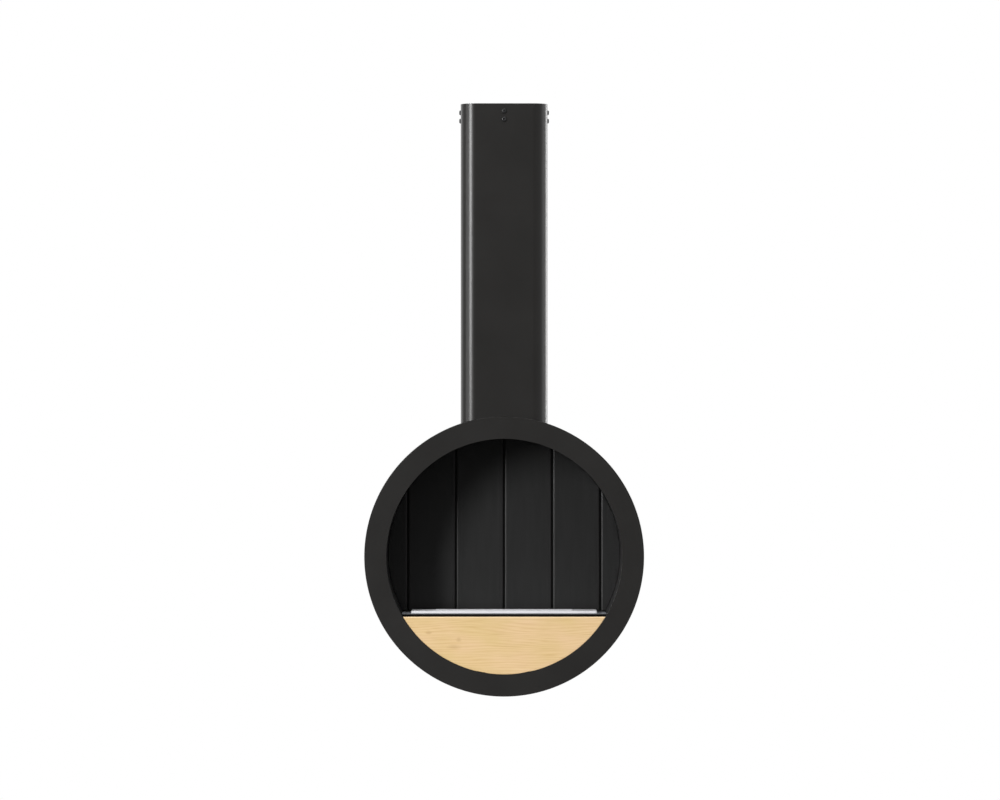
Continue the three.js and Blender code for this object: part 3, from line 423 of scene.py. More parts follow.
def firebox_liner(material):
    """The liner: a thin wall turned about the drum's axis."""
    front, rear = SHELL_FRONT_Y, BULKHEAD_Y - FIT
    outer = LINER_R + LINER_T
    section = np.array([(LINER_R, front), (outer, front), (outer, rear), (LINER_R, rear)])
    make("firebox_liner", [turned(section)], material)


def back_panel(number, material):
    """A panel of the firebox's back: a path in plan, from one folded edge round a bend over the face to the
    other, carried up through fixed heights that are clipped to the circle, |z| <= sqrt(R^2 - x^2)."""
    seams = (np.arange(PANEL_COUNT + 1) - PANEL_COUNT / 2) * PANEL_PITCH
    left_end, right_end = number == 1, number == PANEL_COUNT
    x0, x1 = seams[number - 1] + PANEL_GAP / 2, seams[number] - PANEL_GAP / 2
    r, bend_y = PANEL_BEND_R, PANEL_Y + PANEL_BEND_R
    fold = np.array([PANEL_REAR_Y, HOOK_Y[1], HOOK_Y[0], bend_y])
    if left_end or right_end:
        far = math.degrees(math.acos((abs(x1 if left_end else x0) + r) / PANEL_R))
        face = PANEL_R * np.cos(np.radians(np.linspace(0, far, 24)[:-1]))
        face = -face if left_end else face[::-1]
    else:
        face = np.linspace(x0 + r, x1 - r, 30)[1:-1]
    folded_left = np.concatenate([
        np.column_stack([0 * fold + x0, fold])[:-1], arc((x0 + r, bend_y), r, 180, 270),
    ])
    folded_right = np.concatenate([
        arc((x1 - r, bend_y), r, -90, 0), np.column_stack([0 * fold + x1, fold[::-1]])[1:],
    ])
    path = np.concatenate([
        *([] if left_end else [folded_left]),
        np.column_stack([face, 0 * face + PANEL_Y]),
        *([] if right_end else [folded_right]),
    ])
    lower, upper = ([level + at for at in (-HOOK_BELOW, FIT, HOOK_ABOVE)] for level in RAIL_LEVELS)
    middle, crown = (-40, 40), (200, 240, 270, 295, 315, 330)  # heights between the rails and over them
    foot = SHELF_TOP_Z + PANEL_END_GAP
    levels = np.array([foot, *lower, *middle, *upper, *crown, PANEL_R])
    reach = np.sqrt(np.maximum(PANEL_R**2 - path[:, 0] ** 2, 0))
    heights = np.clip(levels[:, None], -reach, reach) - DRUM_DROP
    last = len(path) - 1
    notches = []
    for row in (1, 1 + len(lower) + len(middle)):  # a notch two cells wide, and a slot over it
        if not left_end:
            notches += [((row, row + 1), (0, 2)), ((row + 1, row + 2), (1, 2))]
        if not right_end:
            notches += [((row, row + 1), (last - 2, last)), ((row + 1, row + 2), (last - 2, last - 1))]
    make(f"back_panel_{number}", [pierced(raised(path, heights), (), notches)], material, wall=PANEL_T)


def burner_tray(material):
    """The burner's tray: a loop carried up its skirt, round the bend and in over the top to the flame slot.
    On the top each point moves straight from the outline to the slot's edge."""
    xs, ys = np.linspace(-1, 1, 9), np.array([-1, -0.6, -0.3, 0, 0.3, 0.6, 1])  # shares of the sides
    place, direction = corner_loop(xs, ys)
    corners = np.array([BURNER_W / 2 - TRAY_CORNER_R, BURNER_D / 2 - TRAY_CORNER_R])
    slot_corners = np.array([SLOT_W / 2 - SLOT_CORNER_R, SLOT_D / 2 - SLOT_CORNER_R])
    slot = place * slot_corners + direction * SLOT_CORNER_R + (0, BURNER_Y)

    def outline(inset):
        """The loop round the tray, drawn in."""
        return place * corners + direction * (TRAY_CORNER_R - inset) + (0, BURNER_Y)

    flat_from, flat_to = BURNER_W / 2 - TRAY_BEND_R, SLOT_W / 2
    moves = [*((flat_from - LIFT_HOLE_X - HOLE_LINES[::-1]) / (flat_from - flat_to)), 1]
    top = TRAY_TOP_Z - DRUM_DROP
    bend = arc((0, 0), TRAY_BEND_R, 0, 90)
    levels = [
        (outline(0), top - TRAY_H),
        *((outline(TRAY_BEND_R - across), top - TRAY_BEND_R + up) for across, up in bend),
        *((outline(TRAY_BEND_R) * (1 - share) + slot * share, top) for share in moves),
    ]
    points = np.concatenate([raised(loop, [z]) for loop, z in levels])
    half_loop = len(ys) + len(xs) + 2 * (BEND_STEPS - 1)
    holes = [
        hole(1 + len(bend), column, len(HOLE_LINES) - 1, (x, BURNER_Y, top), LIFT_HOLE_R)
        for column, x in ((1, LIFT_HOLE_X), (1 + half_loop, -LIFT_HOLE_X))
    ]
    make("burner_tray", [pierced(points, holes)], material, wall=TRAY_T, edge=0.3)


def burner_lid(material):
    """The lid: a flat sheet with two lifting slots and a frame under it. Its corners are rounded by taking
    the square beyond each corner's centre to a quarter disc, (a, b) -> (a sqrt(1 - b^2/2),
    b sqrt(1 - a^2/2))."""
    corner = LID_CORNER_R * np.linspace(1, 0, 5)
    xs = both_sides(np.concatenate([LIFT_SLOT_X + SLOT_LINES, LID_W / 2 - corner]), [-80, 0, 80])
    ys = both_sides(np.concatenate([SLOT_LINES[SLOT_LINES > 0] / 2, LID_D / 2 - corner]), [0])
    x, y = np.meshgrid(xs, ys)
    centre_x, centre_y = LID_W / 2 - LID_CORNER_R, LID_D / 2 - LID_CORNER_R
    a = np.maximum(np.abs(x) - centre_x, 0) / LID_CORNER_R
    b = np.maximum(np.abs(y) - centre_y, 0) / LID_CORNER_R
    rounded_x = np.sign(x) * (np.minimum(np.abs(x), centre_x) + LID_CORNER_R * a * np.sqrt(1 - b**2 / 2))
    rounded_y = np.sign(y) * (np.minimum(np.abs(y), centre_y) + LID_CORNER_R * b * np.sqrt(1 - a**2 / 2))
    top = LID_UNDER_Z + LID_T - DRUM_DROP
    plate = np.stack([rounded_x, rounded_y + BURNER_Y, 0 * x + top], -1)
    half = (LIFT_SLOT_W / 2, LIFT_SLOT_D / 2, 1)
    slots = [
        hole(
            nearest(ys, SLOT_LINES[0] / 2), nearest(xs, slot_x + SLOT_LINES[0]), len(SLOT_LINES) - 1,
            (slot_x, BURNER_Y, top), half, power=4,
        )
        for slot_x in (-LIFT_SLOT_X, LIFT_SLOT_X)
    ]
    inset = LID_FRAME_PLAY + LID_FRAME_CORNER_R
    corners = np.array([SLOT_W / 2 - inset, SLOT_D / 2 - inset])
    place, direction = corner_loop(np.linspace(-1, 1, 5), np.linspace(-1, 1, 3))
    loop = place * corners + direction * LID_FRAME_CORNER_R + (0, BURNER_Y)
    under = LID_UNDER_Z - DRUM_DROP
    frame_wall = grid(raised(loop, [under - LID_FRAME_H, under + LID_FRAME_ROOT]))
    make("burner_lid", [pierced(plate, slots), frame_wall], material, wall=LID_T, edge=0.3)


def wood_front(material):
    """The wooden front: a circle's segment. Each column of points runs round the board: down the front from
    the chord to the arc, back under it, up the back and forward over the top. Heights on its faces are
    fixed lines clipped to the arc, and a rounded edge draws the whole segment in by r (1 - cos)."""
    chord = math.sqrt(WOOD_R**2 - WOOD_TOP_Z**2)
    right = np.concatenate([
        [40], MAGNET_POCKET["x"] + POCKET_LINES, [130, 148], DOWEL_POCKET["x"] + POCKET_LINES,
        np.arange(208, chord - 3, 8), chord - np.array([3, 1, 0]),
    ])
    columns = both_sides(right, [-20, 0, 20]) / chord
    front, back = WOOD_FRONT_Y, WOOD_FRONT_Y + WOOD_T
    lines = [POCKET_Z + 22, *(POCKET_Z + POCKET_LINES[::-1]), -240, -260, -280, -300, -320]  # downwards
    rounding = WOOD_EDGE_R - arc((0, 0), WOOD_EDGE_R, 0, 90)  # how far in, and how far behind the face

    def row(inset, y, line):
        """One line of points: at a height, drawn in by an inset."""
        r, top = WOOD_R - inset, WOOD_TOP_Z - inset
        x = columns * math.sqrt(r**2 - top**2)
        z = np.clip(line, -np.sqrt(r**2 - x**2), top)
        return np.stack([x, y + 0 * x, z - DRUM_DROP], -1)

    rows = [row(inset, front + behind, WOOD_TOP_Z) for inset, behind in rounding]
    rows += [row(WOOD_EDGE_R, front, line) for line in lines]
    rows += [row(inset, front + behind, -WOOD_R) for inset, behind in rounding[::-1]]
    rows += [row(inset, back - behind, -WOOD_R) for inset, behind in rounding]
    back_row = len(rows)
    rows += [row(WOOD_EDGE_R, back, line) for line in lines[::-1]]
    rows += [row(inset, back - behind, WOOD_TOP_Z) for inset, behind in rounding[::-1]]
    rows.append(rows[0])
    holes = []
    for pocket, cells in ((DOWEL_POCKET, 4), (MAGNET_POCKET, 6)):
        first = POCKET_LINES[(len(POCKET_LINES) - 1 - cells) // 2]
        for x in (-pocket["x"], pocket["x"]):
            holes.append(hole(
                back_row + nearest(np.array(lines[::-1]), POCKET_Z + first),
                nearest(columns * chord, x + first), cells, (x, back, POCKET_Z - DRUM_DROP), pocket["r"],
                sunk=np.array([0, -pocket["deep"], 0]),
            ))
    vertices, faces = pierced(np.stack(rows), holes)
    make("wood_front", [(vertices, faces[:, ::-1])], material)  # turned, because the rows run left to right


# ------------------------------------------------------------------ finishes
MOST_NOISE = {"From Min": 0.25, "From Max": 0.75}  # where most of a noise's values lie


def linear(colour):
    """An sRGB hex colour as linear light."""
    channels = np.array([int(colour[at:at + 2], 16) for at in (1, 3, 5)]) / 255
    curve = np.where(channels > 0.04045, ((channels + 0.055) / 1.055) ** 2.4, channels / 12.92)
    return (*curve.tolist(), 1.0)


def waves_of(size):
    """The scale of a pattern whose waves or cells are a size in millimetres: how many go in a metre."""
    return 1 / (size * MM)


def connect(tree, node, inputs):
    """Links other nodes' outputs to a node's sockets, and sets the rest of the inputs as values."""
    for socket, value in inputs.items():
        if isinstance(value, bpy.types.NodeSocket):
            tree.links.new(value, node.inputs[socket])
        else:
            node.inputs[socket].default_value = value


def add(tree, kind, inputs=None, options=None, stops=()):
    """Adds a node and returns its outputs. inputs are values for its sockets, or other nodes' outputs to
    link to them; options are its own settings; stops are a ramp's places and colours."""
    made = tree.nodes.new("ShaderNode" + kind)
    for option, value in (options or {}).items():
        setattr(made, option, value)
    connect(tree, made, inputs or {})
    for number, (place, colour) in enumerate(stops):
        ramp = made.color_ramp.elements
        stop = ramp[number] if number < len(ramp) else ramp.new(place)
        stop.position = place
        stop.color = linear(colour)
    return made.outputs


def start_material(name):
    """A material with one Principled shader. Returns it with the tree, the shader and the places on the
    piece in metres."""
    material = bpy.data.materials.new(name)
    material.use_nodes = True
    tree = material.node_tree
    return material, tree, tree.nodes["Principled BSDF"], add(tree, "TexCoord")["Object"]


def powder_coat():
    """Satin black powder coat: polyester resin baked on steel. The eye gets a soft sheen with an orange peel
    of 2.5 mm waves, and broad areas that cloths have polished a little."""
    material, tree, shader, places = start_material("satin_black_powder_coat")
    peel = add(tree, "TexNoise", {
        "Vector": places, "Scale": waves_of(2.5), "Detail": 3.0, "Roughness": 0.6,
    })["Fac"]
    polish = add(tree, "TexNoise", {"Vector": places, "Scale": waves_of(142.86), "Detail": 2.0})["Fac"]
    tone = add(tree, "ValToRGB", {"Fac": polish}, stops=((0.3, "#252423"), (0.7, "#282726")))["Color"]
    gloss = add(tree, "MapRange", {"Value": polish, **MOST_NOISE, "To Min": 0.29, "To Max": 0.31})["Result"]
    bump = add(tree, "Bump", {"Height": peel, "Distance": 0.015 * MM})["Normal"]
    connect(tree, shader, {"Base Color": tone, "Roughness": gloss, "Normal": bump, "IOR": 1.5})
    return material


def stove_paint():
    """Black stove paint: silicone lacquer on cold-rolled sheet. It is a little duller than the powder coat,
    and the sheet's upright rolling grain of 4 mm shows through its spray of 1 mm."""
    material, tree, shader, places = start_material("black_stove_paint")
    upright = add(tree, "Mapping", {"Vector": places, "Scale": (1, 1, 0.03)})["Vector"]
    grain = add(tree, "TexNoise", {"Vector": upright, "Scale": waves_of(4), "Detail": 3.0})["Fac"]
    spray = add(tree, "TexNoise", {"Vector": places, "Scale": waves_of(1.111), "Detail": 2.0})["Fac"]
    tone = add(tree, "ValToRGB", {"Fac": grain}, stops=((0.3, "#222222"), (0.7, "#252525")))["Color"]
    gloss = add(tree, "MapRange", {"Value": grain, **MOST_NOISE, "To Min": 0.36, "To Max": 0.42})["Result"]
    bump = add(tree, "Bump", {"Height": spray, "Distance": 0.01 * MM})["Normal"]
    connect(tree, shader, {"Base Color": tone, "Roughness": gloss, "Normal": bump, "IOR": 1.5})
    return material


def shelf_sheet():
    """The shelf's sheet: zinc-coated steel, phosphated to a matt blue-grey with a mottle of 5 mm. Black stove
    paint covers its front edge to a wavering line. Towards the panels the sheet turns black over a soft
    border, which is painted shade for the dimmer back of the firebox."""
    material, tree, shader, places = start_material("phosphated_zinc_sheet")
    depth = add(tree, "SeparateXYZ", {"Vector": places})["Y"]
    mottle = add(tree, "TexNoise", {"Vector": places, "Scale": waves_of(5), "Detail": 3.0})["Fac"]
    waver = add(tree, "MapRange", {
        "Value": mottle, **MOST_NOISE, "To Min": -0.5 * MM, "To Max": 0.5 * MM,
    })["Result"]
    line = add(tree, "Math", {0: depth, 1: waver})["Value"]
    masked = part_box("shelf")[0][1] + SHELF_PAINT_W * MM
    behind = add(tree, "MapRange", {"Value": line, "From Min": masked - 1 * MM, "From Max": masked})["Result"]
    # painted shade: the sheet turns to black paint towards the panels, standing in for the shade at the back
    # of the firebox
    starts, covers = ((PANEL_Y - before) * MM for before in PANEL_SHADE_SPAN)
    clear = add(tree, "MapRange", {
        "Value": depth, "From Min": starts, "From Max": covers, "To Min": 1.0, "To Max": 0.0,
    })["Result"]
    bare_and_unshaded = add(tree, "Math", {0: behind, 1: clear}, {"operation": "MULTIPLY"})["Value"]
    zinc = add(tree, "ValToRGB", {"Fac": mottle}, stops=((0.3, "#93979D"), (0.7, "#9EA2A8")))["Color"]
    tone = add(tree, "MixRGB", {"Fac": bare_and_unshaded, "Color1": linear("#242424"), "Color2": zinc})["Color"]
    gloss = add(tree, "MapRange", {"Value": mottle, **MOST_NOISE, "To Min": 0.5, "To Max": 0.62})["Result"]
    bump = add(tree, "Bump", {"Height": mottle, "Distance": 0.015 * MM})["Normal"]
    connect(tree, shader, {"Base Color": tone, "Roughness": gloss, "Normal": bump, "IOR": 1.5})
    return material


def black_oxide():
    """Black-oxide steel: screws blued in a hot bath and oiled. Dark and glossy, with cloudy patches of
    3 mm."""
    material, tree, shader, places = start_material("black_oxide_steel")
    cloud = add(tree, "TexNoise", {"Vector": places, "Scale": waves_of(3.03), "Detail": 3.0})["Fac"]
    tone = add(tree, "ValToRGB", {"Fac": cloud}, stops=((0.3, "#2A2A2B"), (0.7, "#363637")))["Color"]
    gloss = add(tree, "MapRange", {"Value": cloud, **MOST_NOISE, "To Min": 0.28, "To Max": 0.42})["Result"]
    bump = add(tree, "Bump", {"Height": cloud, "Distance": 0.01 * MM})["Normal"]
    connect(tree, shader, {"Base Color": tone, "Roughness": gloss, "Normal": bump, "Metallic": 0.35})
    return material


def brushed_stainless():
    """Brushed stainless steel, grained along its length with a 180-grit belt. The scratches of 0.15 mm are
    drawn 1 mm wide, to show: long bright and dull streaks along X."""
    material, tree, shader, places = start_material("brushed_stainless_steel")
    along = add(tree, "Mapping", {"Vector": places, "Scale": (0.012, 1, 1)})["Vector"]
    scratch = add(tree, "TexNoise", {
        "Vector": along, "Scale": waves_of(1), "Detail": 4.0, "Roughness": 0.7,
    })["Fac"]
    tone = add(tree, "ValToRGB", {"Fac": scratch}, stops=((0.3, "#EBEBEE"), (0.7, "#F6F6F9")))["Color"]
    gloss = add(tree, "MapRange", {"Value": scratch, **MOST_NOISE, "To Min": 0.5, "To Max": 0.62})["Result"]
    bump = add(tree, "Bump", {"Height": scratch, "Distance": 0.01 * MM})["Normal"]
    connect(tree, shader, {"Base Color": tone, "Roughness": gloss, "Normal": bump, "Metallic": 0.5})
    return material


def zinc_steel():
    """Galvanised steel: a hot-dip coat with a spangle of 7 mm crystals, each of its own grey, dulled in
    patches of 17 mm."""
    material, tree, shader, places = start_material("galvanised_steel")
    spangle = add(tree, "TexVoronoi", {"Vector": places, "Scale": waves_of(7.143)})["Color"]
    crystal = add(tree, "SeparateColor", {"Color": spangle})["Red"]
    dull = add(tree, "TexNoise", {"Vector": places, "Scale": waves_of(16.67), "Detail": 4.0})["Fac"]
    tone = add(tree, "ValToRGB", {"Fac": crystal}, stops=((0.0, "#9A9FA3"), (1.0, "#B7BBBE")))["Color"]
    gloss = add(tree, "MapRange", {"Value": dull, **MOST_NOISE, "To Min": 0.34, "To Max": 0.52})["Result"]
    bump = add(tree, "Bump", {"Height": dull, "Distance": 0.02 * MM})["Normal"]
    connect(tree, shader, {"Base Color": tone, "Roughness": gloss, "Normal": bump, "Metallic": 1.0})
    return material


def oak_spot(tree, places, x, z, half_x, half_z):
    """A soft spot on the front face: 1 at its centre, 0 at 1.9 times its half sizes."""
    scale = (1 / (half_x * MM), 0, 1 / (half_z * MM))
    centred = add(tree, "Mapping", {
        "Vector": places, "Scale": scale, "Location": (-x * MM * scale[0], 0, -z * MM * scale[2]),
    })["Vector"]
    away = add(tree, "VectorMath", {0: centred}, {"operation": "LENGTH"})["Value"]
    return add(tree, "MapRange", {
        "Value": away, "From Min": 0.0, "From Max": 1.9, "To Min": 1.0, "To Max": 0.0,
    }, {"interpolation_type": "SMOOTHSTEP"})["Result"]


def oak():
    """Oiled oak veneer with its grain along X. A lighter band along its top edge is a painted highlight,
    where the rounded edge catches the light. Growth rings are bands that wander and join, and close in long
    arches where the cut runs through a crown. Between them lie fibres and broken pores, in waves of 1.1 and
    2.4 mm, coarser than the real ones, to show. Broad areas are more yellow or more pink, and the rings bend
    round a few small soft knots."""
    material, tree, shader, places = start_material("oiled_oak")
    knots, bend = 0.0, 0.0
    for spot in KNOTS:
        knots = add(tree, "Math", {0: knots, 1: oak_spot(tree, places, *spot)})["Value"]
    for *spot, turns in CROWNS:
        bend = add(tree, "Math", {0: oak_spot(tree, places, *spot), 1: 2 * math.pi * turns, 2: bend}, {
            "operation": "MULTIPLY_ADD",
        })["Value"]
    noises = {}
    for name, size, along, detail, roughness in (  # waves in mm, and their share of it along the grain
        ("wander", 83.33, 0.3, 2.0, 0.5), ("area", 71.43, 0.5, 2.0, 0.5), ("weak", 25, 0.25, 2.0, 0.5),
        ("pore", 2.381, 0.035, 2.0, 0.5), ("fibre", 1.111, 0.04, 3.0, 0.6),
    ):
        grain = add(tree, "Mapping", {"Vector": places, "Scale": (along, 1, 1)})["Vector"]
        noises[name] = add(tree, "TexNoise", {
            "Vector": grain, "Scale": waves_of(size), "Detail": detail, "Roughness": roughness,
        })["Fac"]
    for pushed, radians in ((knots, 2.5), (noises["wander"], 16.0)):
        bend = add(tree, "Math", {0: pushed, 1: radians, 2: bend}, {"operation": "MULTIPLY_ADD"})["Value"]
    bands = add(tree, "TexWave", {
        "Vector": add(tree, "Mapping", {"Vector": places, "Scale": (0.06, 1, 1)})["Vector"],
        "Scale": waves_of(GROWTH_PITCH) * 2 * math.pi / 20,  # 20 radians of a band in each unit
        "Distortion": 6.0, "Detail": 3.0, "Detail Scale": 1.2, "Detail Roughness": 0.65, "Phase Offset": bend,
    }, {"wave_type": "BANDS", "bands_direction": "Z", "wave_profile": "SIN"})["Fac"]
    areas, rings, pores, threads = (
        add(tree, "ValToRGB", {"Fac": pattern}, stops=stops)["Color"]
        for pattern, stops in (
            (noises["area"], ((0.35, "#D6B97F"), (0.65, "#E5C29C"))),
            (bands, ((0.0, "#CCA66E"), (1.0, "#E4C695"), (0.35, "#DDBD88"))),
            (noises["pore"], ((0.3, "#C29C66"), (0.7, "#E6CA9B"), (0.45, "#DFC18D"))),
            (noises["fibre"], ((0.3, "#D0AE77"), (0.7, "#E9CD9E"))),
        )
    )
    ringed = add(tree, "MapRange", {
        "Value": noises["weak"], **MOST_NOISE, "To Min": 0.0, "To Max": 0.8,
    })["Result"]
    knotted = add(tree, "Math", {0: knots, 1: 0.4}, {"operation": "MULTIPLY", "use_clamp": True})["Value"]
    height = add(tree, "SeparateXYZ", {"Vector": places})["Z"]
    # painted highlight: the top 3.5 mm of the wood is mixed towards a pale colour, standing in for light
    # caught on its edge
    painted_edge_highlight = add(tree, "MapRange", {
        "Value": height, "From Min": (EDGE_HIGHLIGHT_Z - 0.2) * MM, "From Max": (EDGE_HIGHLIGHT_Z + 0.2) * MM,
        "To Min": 0.0, "To Max": 0.7,
    })["Result"]
    wood = areas
    for share, layer in (
        (ringed, rings), (0.26, pores), (0.15, threads), (knotted, linear("#B58E5E")),
        (painted_edge_highlight, linear("#F6DAB0")),
    ):
        wood = add(tree, "MixRGB", {"Fac": share, "Color1": wood, "Color2": layer})["Color"]
    gloss = add(tree, "MapRange", {
        "Value": noises["fibre"], **MOST_NOISE, "To Min": 0.42, "To Max": 0.58,
    })["Result"]
    bump = add(tree, "Bump", {"Height": noises["pore"], "Distance": 0.04 * MM})["Normal"]
    connect(tree, shader, {"Base Color": wood, "Roughness": gloss, "Normal": bump, "IOR": 1.45})
    return material


def beech():
    """Beech dowel: turned rod with its grain along Y and the short darker flecks of beech, 5 mm long."""
    material, tree, shader, places = start_material("beech_dowel")
    along = add(tree, "Mapping", {"Vector": places, "Scale": (1, 0.15, 1)})["Vector"]
    fleck = add(tree, "TexNoise", {"Vector": along, "Scale": waves_of(0.7143), "Detail": 2.0})["Fac"]
    tone = add(tree, "ValToRGB", {"Fac": fleck}, stops=((0.3, "#C9A475"), (0.65, "#DFC195")))["Color"]
    gloss = add(tree, "MapRange", {"Value": fleck, **MOST_NOISE, "To Min": 0.5, "To Max": 0.65})["Result"]
    bump = add(tree, "Bump", {"Height": fleck, "Distance": 0.05 * MM})["Normal"]
    connect(tree, shader, {"Base Color": tone, "Roughness": gloss, "Normal": bump, "IOR": 1.45})
    return material


def vermiculite():
    """Pressed vermiculite board: matt buff with flakes of 3 mm, some of them glinting like brass."""
    material, tree, shader, places = start_material("vermiculite_board")
    flakes = add(tree, "TexVoronoi", {"Vector": places, "Scale": waves_of(3.03)})
    flake = add(tree, "SeparateColor", {"Color": flakes["Color"]})
    tone = add(tree, "ValToRGB", {"Fac": flake["Red"]}, stops=(
        (0.0, "#9A7F55"), (1.0, "#D3B88A"), (0.5, "#B99B6B"),
    ))["Color"]
    gloss = add(tree, "MapRange", {
        "Value": flake["Green"], **MOST_NOISE, "To Min": 0.55, "To Max": 0.9,
    })["Result"]
    bump = add(tree, "Bump", {"Height": flakes["Distance"], "Distance": 0.4 * MM})["Normal"]
    connect(tree, shader, {"Base Color": tone, "Roughness": gloss, "Normal": bump, "IOR": 1.5})
    return material


def ceramic_wool():
    """Needled ceramic fibre: white and dead matt, a felt of wandering fibres drawn 2 mm wide, to show."""
    material, tree, shader, places = start_material("ceramic_wool")
    felt = add(tree, "TexNoise", {
        "Vector": places, "Scale": waves_of(2.083), "Detail": 5.0, "Roughness": 0.75, "Distortion": 1.8,
    })["Fac"]
    tone = add(tree, "ValToRGB", {"Fac": felt}, stops=((0.3, "#DAD7CE"), (0.65, "#F2F0EA")))["Color"]
    gloss = add(tree, "MapRange", {"Value": felt, **MOST_NOISE, "To Min": 0.85, "To Max": 1.0})["Result"]
    bump = add(tree, "Bump", {"Height": felt, "Distance": 1.2 * MM})["Normal"]
    connect(tree, shader, {"Base Color": tone, "Roughness": gloss, "Normal": bump, "IOR": 1.5})
    return material


def nickel():
    """Nickel-plated magnet: bright and slightly warm, with fine scuffs of 1 mm from tumbling."""
    material, tree, shader, places = start_material("nickel_plate")
    scuff = add(tree, "TexNoise", {"Vector": places, "Scale": waves_of(1), "Detail": 4.0})["Fac"]
    tone = add(tree, "ValToRGB", {"Fac": scuff}, stops=((0.3, "#BBB6AC"), (0.7, "#CFCAC0")))["Color"]
    gloss = add(tree, "MapRange", {"Value": scuff, **MOST_NOISE, "To Min": 0.15, "To Max": 0.3})["Result"]
    bump = add(tree, "Bump", {"Height": scuff, "Distance": 0.008 * MM})["Normal"]
    connect(tree, shader, {"Base Color": tone, "Roughness": gloss, "Normal": bump, "Metallic": 1.0})
    return material


# ------------------------------------------------------------------ the object
coat, paint, steel, wood, screws = powder_coat(), stove_paint(), brushed_stainless(), oak(), black_oxide()
sheet = shelf_sheet()
FINISHES = {
    "black_paint": coat, "black_screw": screws, "stainless": steel, "zinc_steel": zinc_steel(), "oak": wood,
    "beech": beech(), "vermiculite": vermiculite(), "ceramic_wool": ceramic_wool(), "magnet": nickel(),
}
PAINTED = ("shelf_bracket_left", "shelf_bracket_right", "panel_rail_upper", "panel_rail_lower", "spill_tray")
for name, node in frame["nodes"].items():
    if name == "shelf":
        finish = sheet
    elif name in PAINTED:
        finish = paint
    else:
        finish = FINISHES[SLOTS[name]]
    for slot in node.material_slots:
        slot.material = finish

column_tube(coat)
for side, (x, y) in SIDES.items():
    for level, drop in zip(("upper", "lower"), COLUMN_SCREW_DROPS):
        seat = (x * (COLUMN_W / 2 + FIT), y * (COLUMN_D / 2 + FIT), -drop)
        button_screw(f"column_screw_{side}_{level}", seat, (x, y, 0), COLUMN_SCREW, screws)
front_ring(coat)
outer_shell(coat)
firebox_liner(paint)
for number in range(1, PANEL_COUNT + 1):
    back_panel(number, paint)
for number in range(1, REAR_SCREW_COUNT + 1):
    low, high = (np.array(corner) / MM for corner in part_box(f"rear_screw_{number}"))
    middle = (low + high) / 2
    seat = (middle[0], high[1] - REAR_SCREW["height"], middle[2])
    button_screw(f"rear_screw_{number}", seat, (0, 1, 0), REAR_SCREW, screws)
burner_tray(steel)
burner_lid(steel)
wood_front(wood)


# ------------------------------------------------------------------ stage, light and camera
def mirrored_room(tree, outward):
    """How bright the room is in reflections, by the direction outward from the object: ROOM_GLOSS in front of
    it and 1 behind it. The white walls reach further forward on the right than on the left."""
    direction = add(tree, "VectorMath", {0: outward}, {"operation": "NORMALIZE"})["Vector"]
    behind = add(tree, "VectorMath", {0: direction, 1: (0.35, 1, 0)}, {"operation": "DOT_PRODUCT"})["Value"]
    return add(tree, "MapRange", {
        "Value": behind, "From Min": -0.5, "From Max": 0.6, "To Min": ROOM_GLOSS, "To Max": 1.0,
    }, {"interpolation_type": "SMOOTHSTEP"})["Result"]


def seen_plainly(tree, ray):
    """1 for what the camera sees straight or through glass, and 0 for the rest."""
    camera, through = ray["Is Camera Ray"], ray["Is Transmission Ray"]
    return add(tree, "Math", {0: camera, 1: through}, {"operation": "MAXIMUM"})["Value"]


def backdrop_level(tree, outward):
    """How bright the white floor is far out: 1 for the camera and through glass, the room's brightness in
    reflections, and FLOOR_FILL as light on the object."""
    ray = add(tree, "LightPath")
    mirrored = add(tree, "Math", {0: ray["Is Glossy Ray"], 1: mirrored_room(tree, outward)}, {
        "operation": "MULTIPLY",
    })["Value"]
    shown = add(tree, "Math", {0: seen_plainly(tree, ray), 1: mirrored}, {"operation": "MAXIMUM"})["Value"]
    return add(tree, "Math", {0: shown, 1: FLOOR_FILL}, {"operation": "MAXIMUM"})["Value"]


def studio_floor():
    """A pale floor 1.2 m under the drum. It takes the object's shadow near it and turns to plain white
    further out, for the camera and in reflections."""
    r = np.array(FLOOR_RADII)[:, None]
    angle = np.linspace(0, 2 * np.pi, 97)
    vertices, faces = grid(np.stack([r * np.cos(angle), r * np.sin(angle), 0 * r * angle + FLOOR_Z], -1))
    mesh = bpy.data.meshes.new("studio_floor")
    mesh.from_pydata(vertices, [], faces)
    floor = bpy.data.objects.new("studio_floor", mesh)
    bpy.context.scene.collection.objects.link(floor)
    material, tree, shader, places = start_material("pale_studio_floor")
    connect(tree, shader, {"Base Color": linear("#F4F3F1"), "Roughness": 0.9})
    level = add(tree, "Mapping", {"Vector": places, "Scale": (1, 1, 0)})["Vector"]
    away = add(tree, "VectorMath", {0: level}, {"operation": "LENGTH"})["Value"]
    far = add(tree, "MapRange", {"Value": away, "From Min": FLOOR_FADE[0], "From Max": FLOOR_FADE[1]}, {
        "interpolation_type": "SMOOTHSTEP",
    })["Result"]
    glow = add(tree, "Emission", {"Color": WHITE, "Strength": backdrop_level(tree, places)})["Emission"]
    surface = add(tree, "MixShader", {0: far, 1: shader.outputs["BSDF"], 2: glow})["Shader"]
    connect(tree, tree.nodes["Material Output"], {"Surface": surface})
    mesh.materials.append(material)


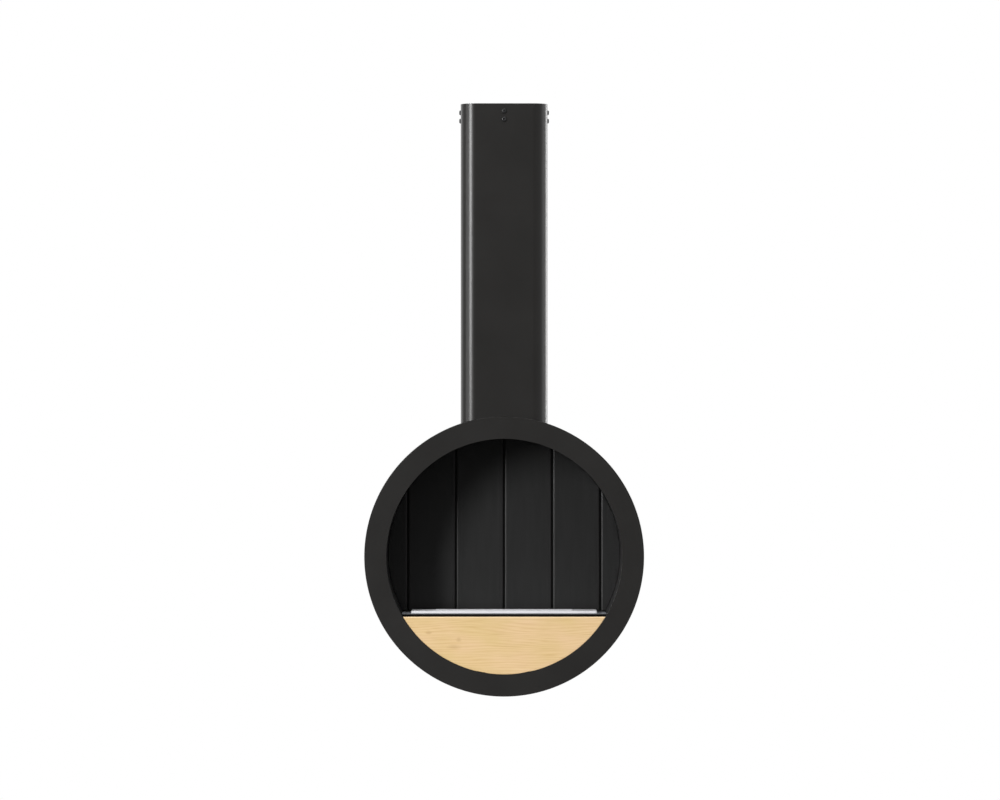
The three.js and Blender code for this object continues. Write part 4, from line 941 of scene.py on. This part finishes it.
def softbox(name, width, height, radiance, azimuth, elevation, distance, aim_z):
    """An area lamp that faces a point of the column's axis from an azimuth, counted from the camera's side
    towards +X, and an elevation. Its power is radiance x pi x area."""
    lamp = bpy.data.lights.new(name, "AREA")
    lamp.shape = "RECTANGLE"
    lamp.size, lamp.size_y = width, height
    lamp.energy = radiance * math.pi * width * height
    box = bpy.data.objects.new(name, lamp)
    bpy.context.scene.collection.objects.link(box)
    turn, rise = math.radians(azimuth), math.radians(elevation)
    outward = np.array([
        math.sin(turn) * math.cos(rise), -math.cos(turn) * math.cos(rise), math.sin(rise),
    ])
    box.location = distance * outward + (0, 0, aim_z)
    box.rotation_euler = (math.pi / 2 - rise, 0, turn)
    box.visible_camera = False


def studio_world():
    """White for the camera and through glass, the room's brightness in reflections, and for everything else a
    fill from above the horizon."""
    world = bpy.data.worlds.new("studio")
    world.use_nodes = True
    bpy.context.scene.world = world
    tree = world.node_tree
    tree.nodes.clear()
    ray = add(tree, "LightPath")
    outward = add(tree, "TexCoord")["Generated"]
    height = add(tree, "SeparateXYZ", {"Vector": outward})["Z"]
    sky = add(tree, "MapRange", {
        "Value": height, "From Min": -0.1, "From Max": 0.4, "To Min": 0.0, "To Max": FILL,
    }, {"interpolation_type": "SMOOTHSTEP"})["Result"]
    fill, mirrored, seen = (
        add(tree, "Background", {"Color": WHITE, "Strength": strength})["Background"]
        for strength in (sky, mirrored_room(tree, outward), 1.0)
    )
    unseen = add(tree, "MixShader", {0: ray["Is Glossy Ray"], 1: fill, 2: mirrored})["Shader"]
    whole = add(tree, "MixShader", {0: seen_plainly(tree, ray), 1: unseen, 2: seen})["Shader"]
    connect(tree, tree.nodes.new("ShaderNodeOutputWorld"), {"Surface": whole})


def photo_camera():
    """The photograph's camera: level, 12.86 m in front of the ring, a little left of the column's axis."""
    lens = bpy.data.cameras.new("photo_camera")
    lens.lens, lens.sensor_width = LENS, SENSOR_W
    lens.clip_start, lens.clip_end = 0.1, 200
    camera = bpy.data.objects.new("photo_camera", lens)
    camera.location = CAMERA_PLACE
    camera.rotation_euler = (math.pi / 2, 0, 0)
    bpy.context.scene.collection.objects.link(camera)
    bpy.context.scene.camera = camera


studio_floor()
for lamp in SOFTBOXES:
    softbox(*lamp)
studio_world()
photo_camera()
bpy.context.scene.view_settings.view_transform = "Standard"
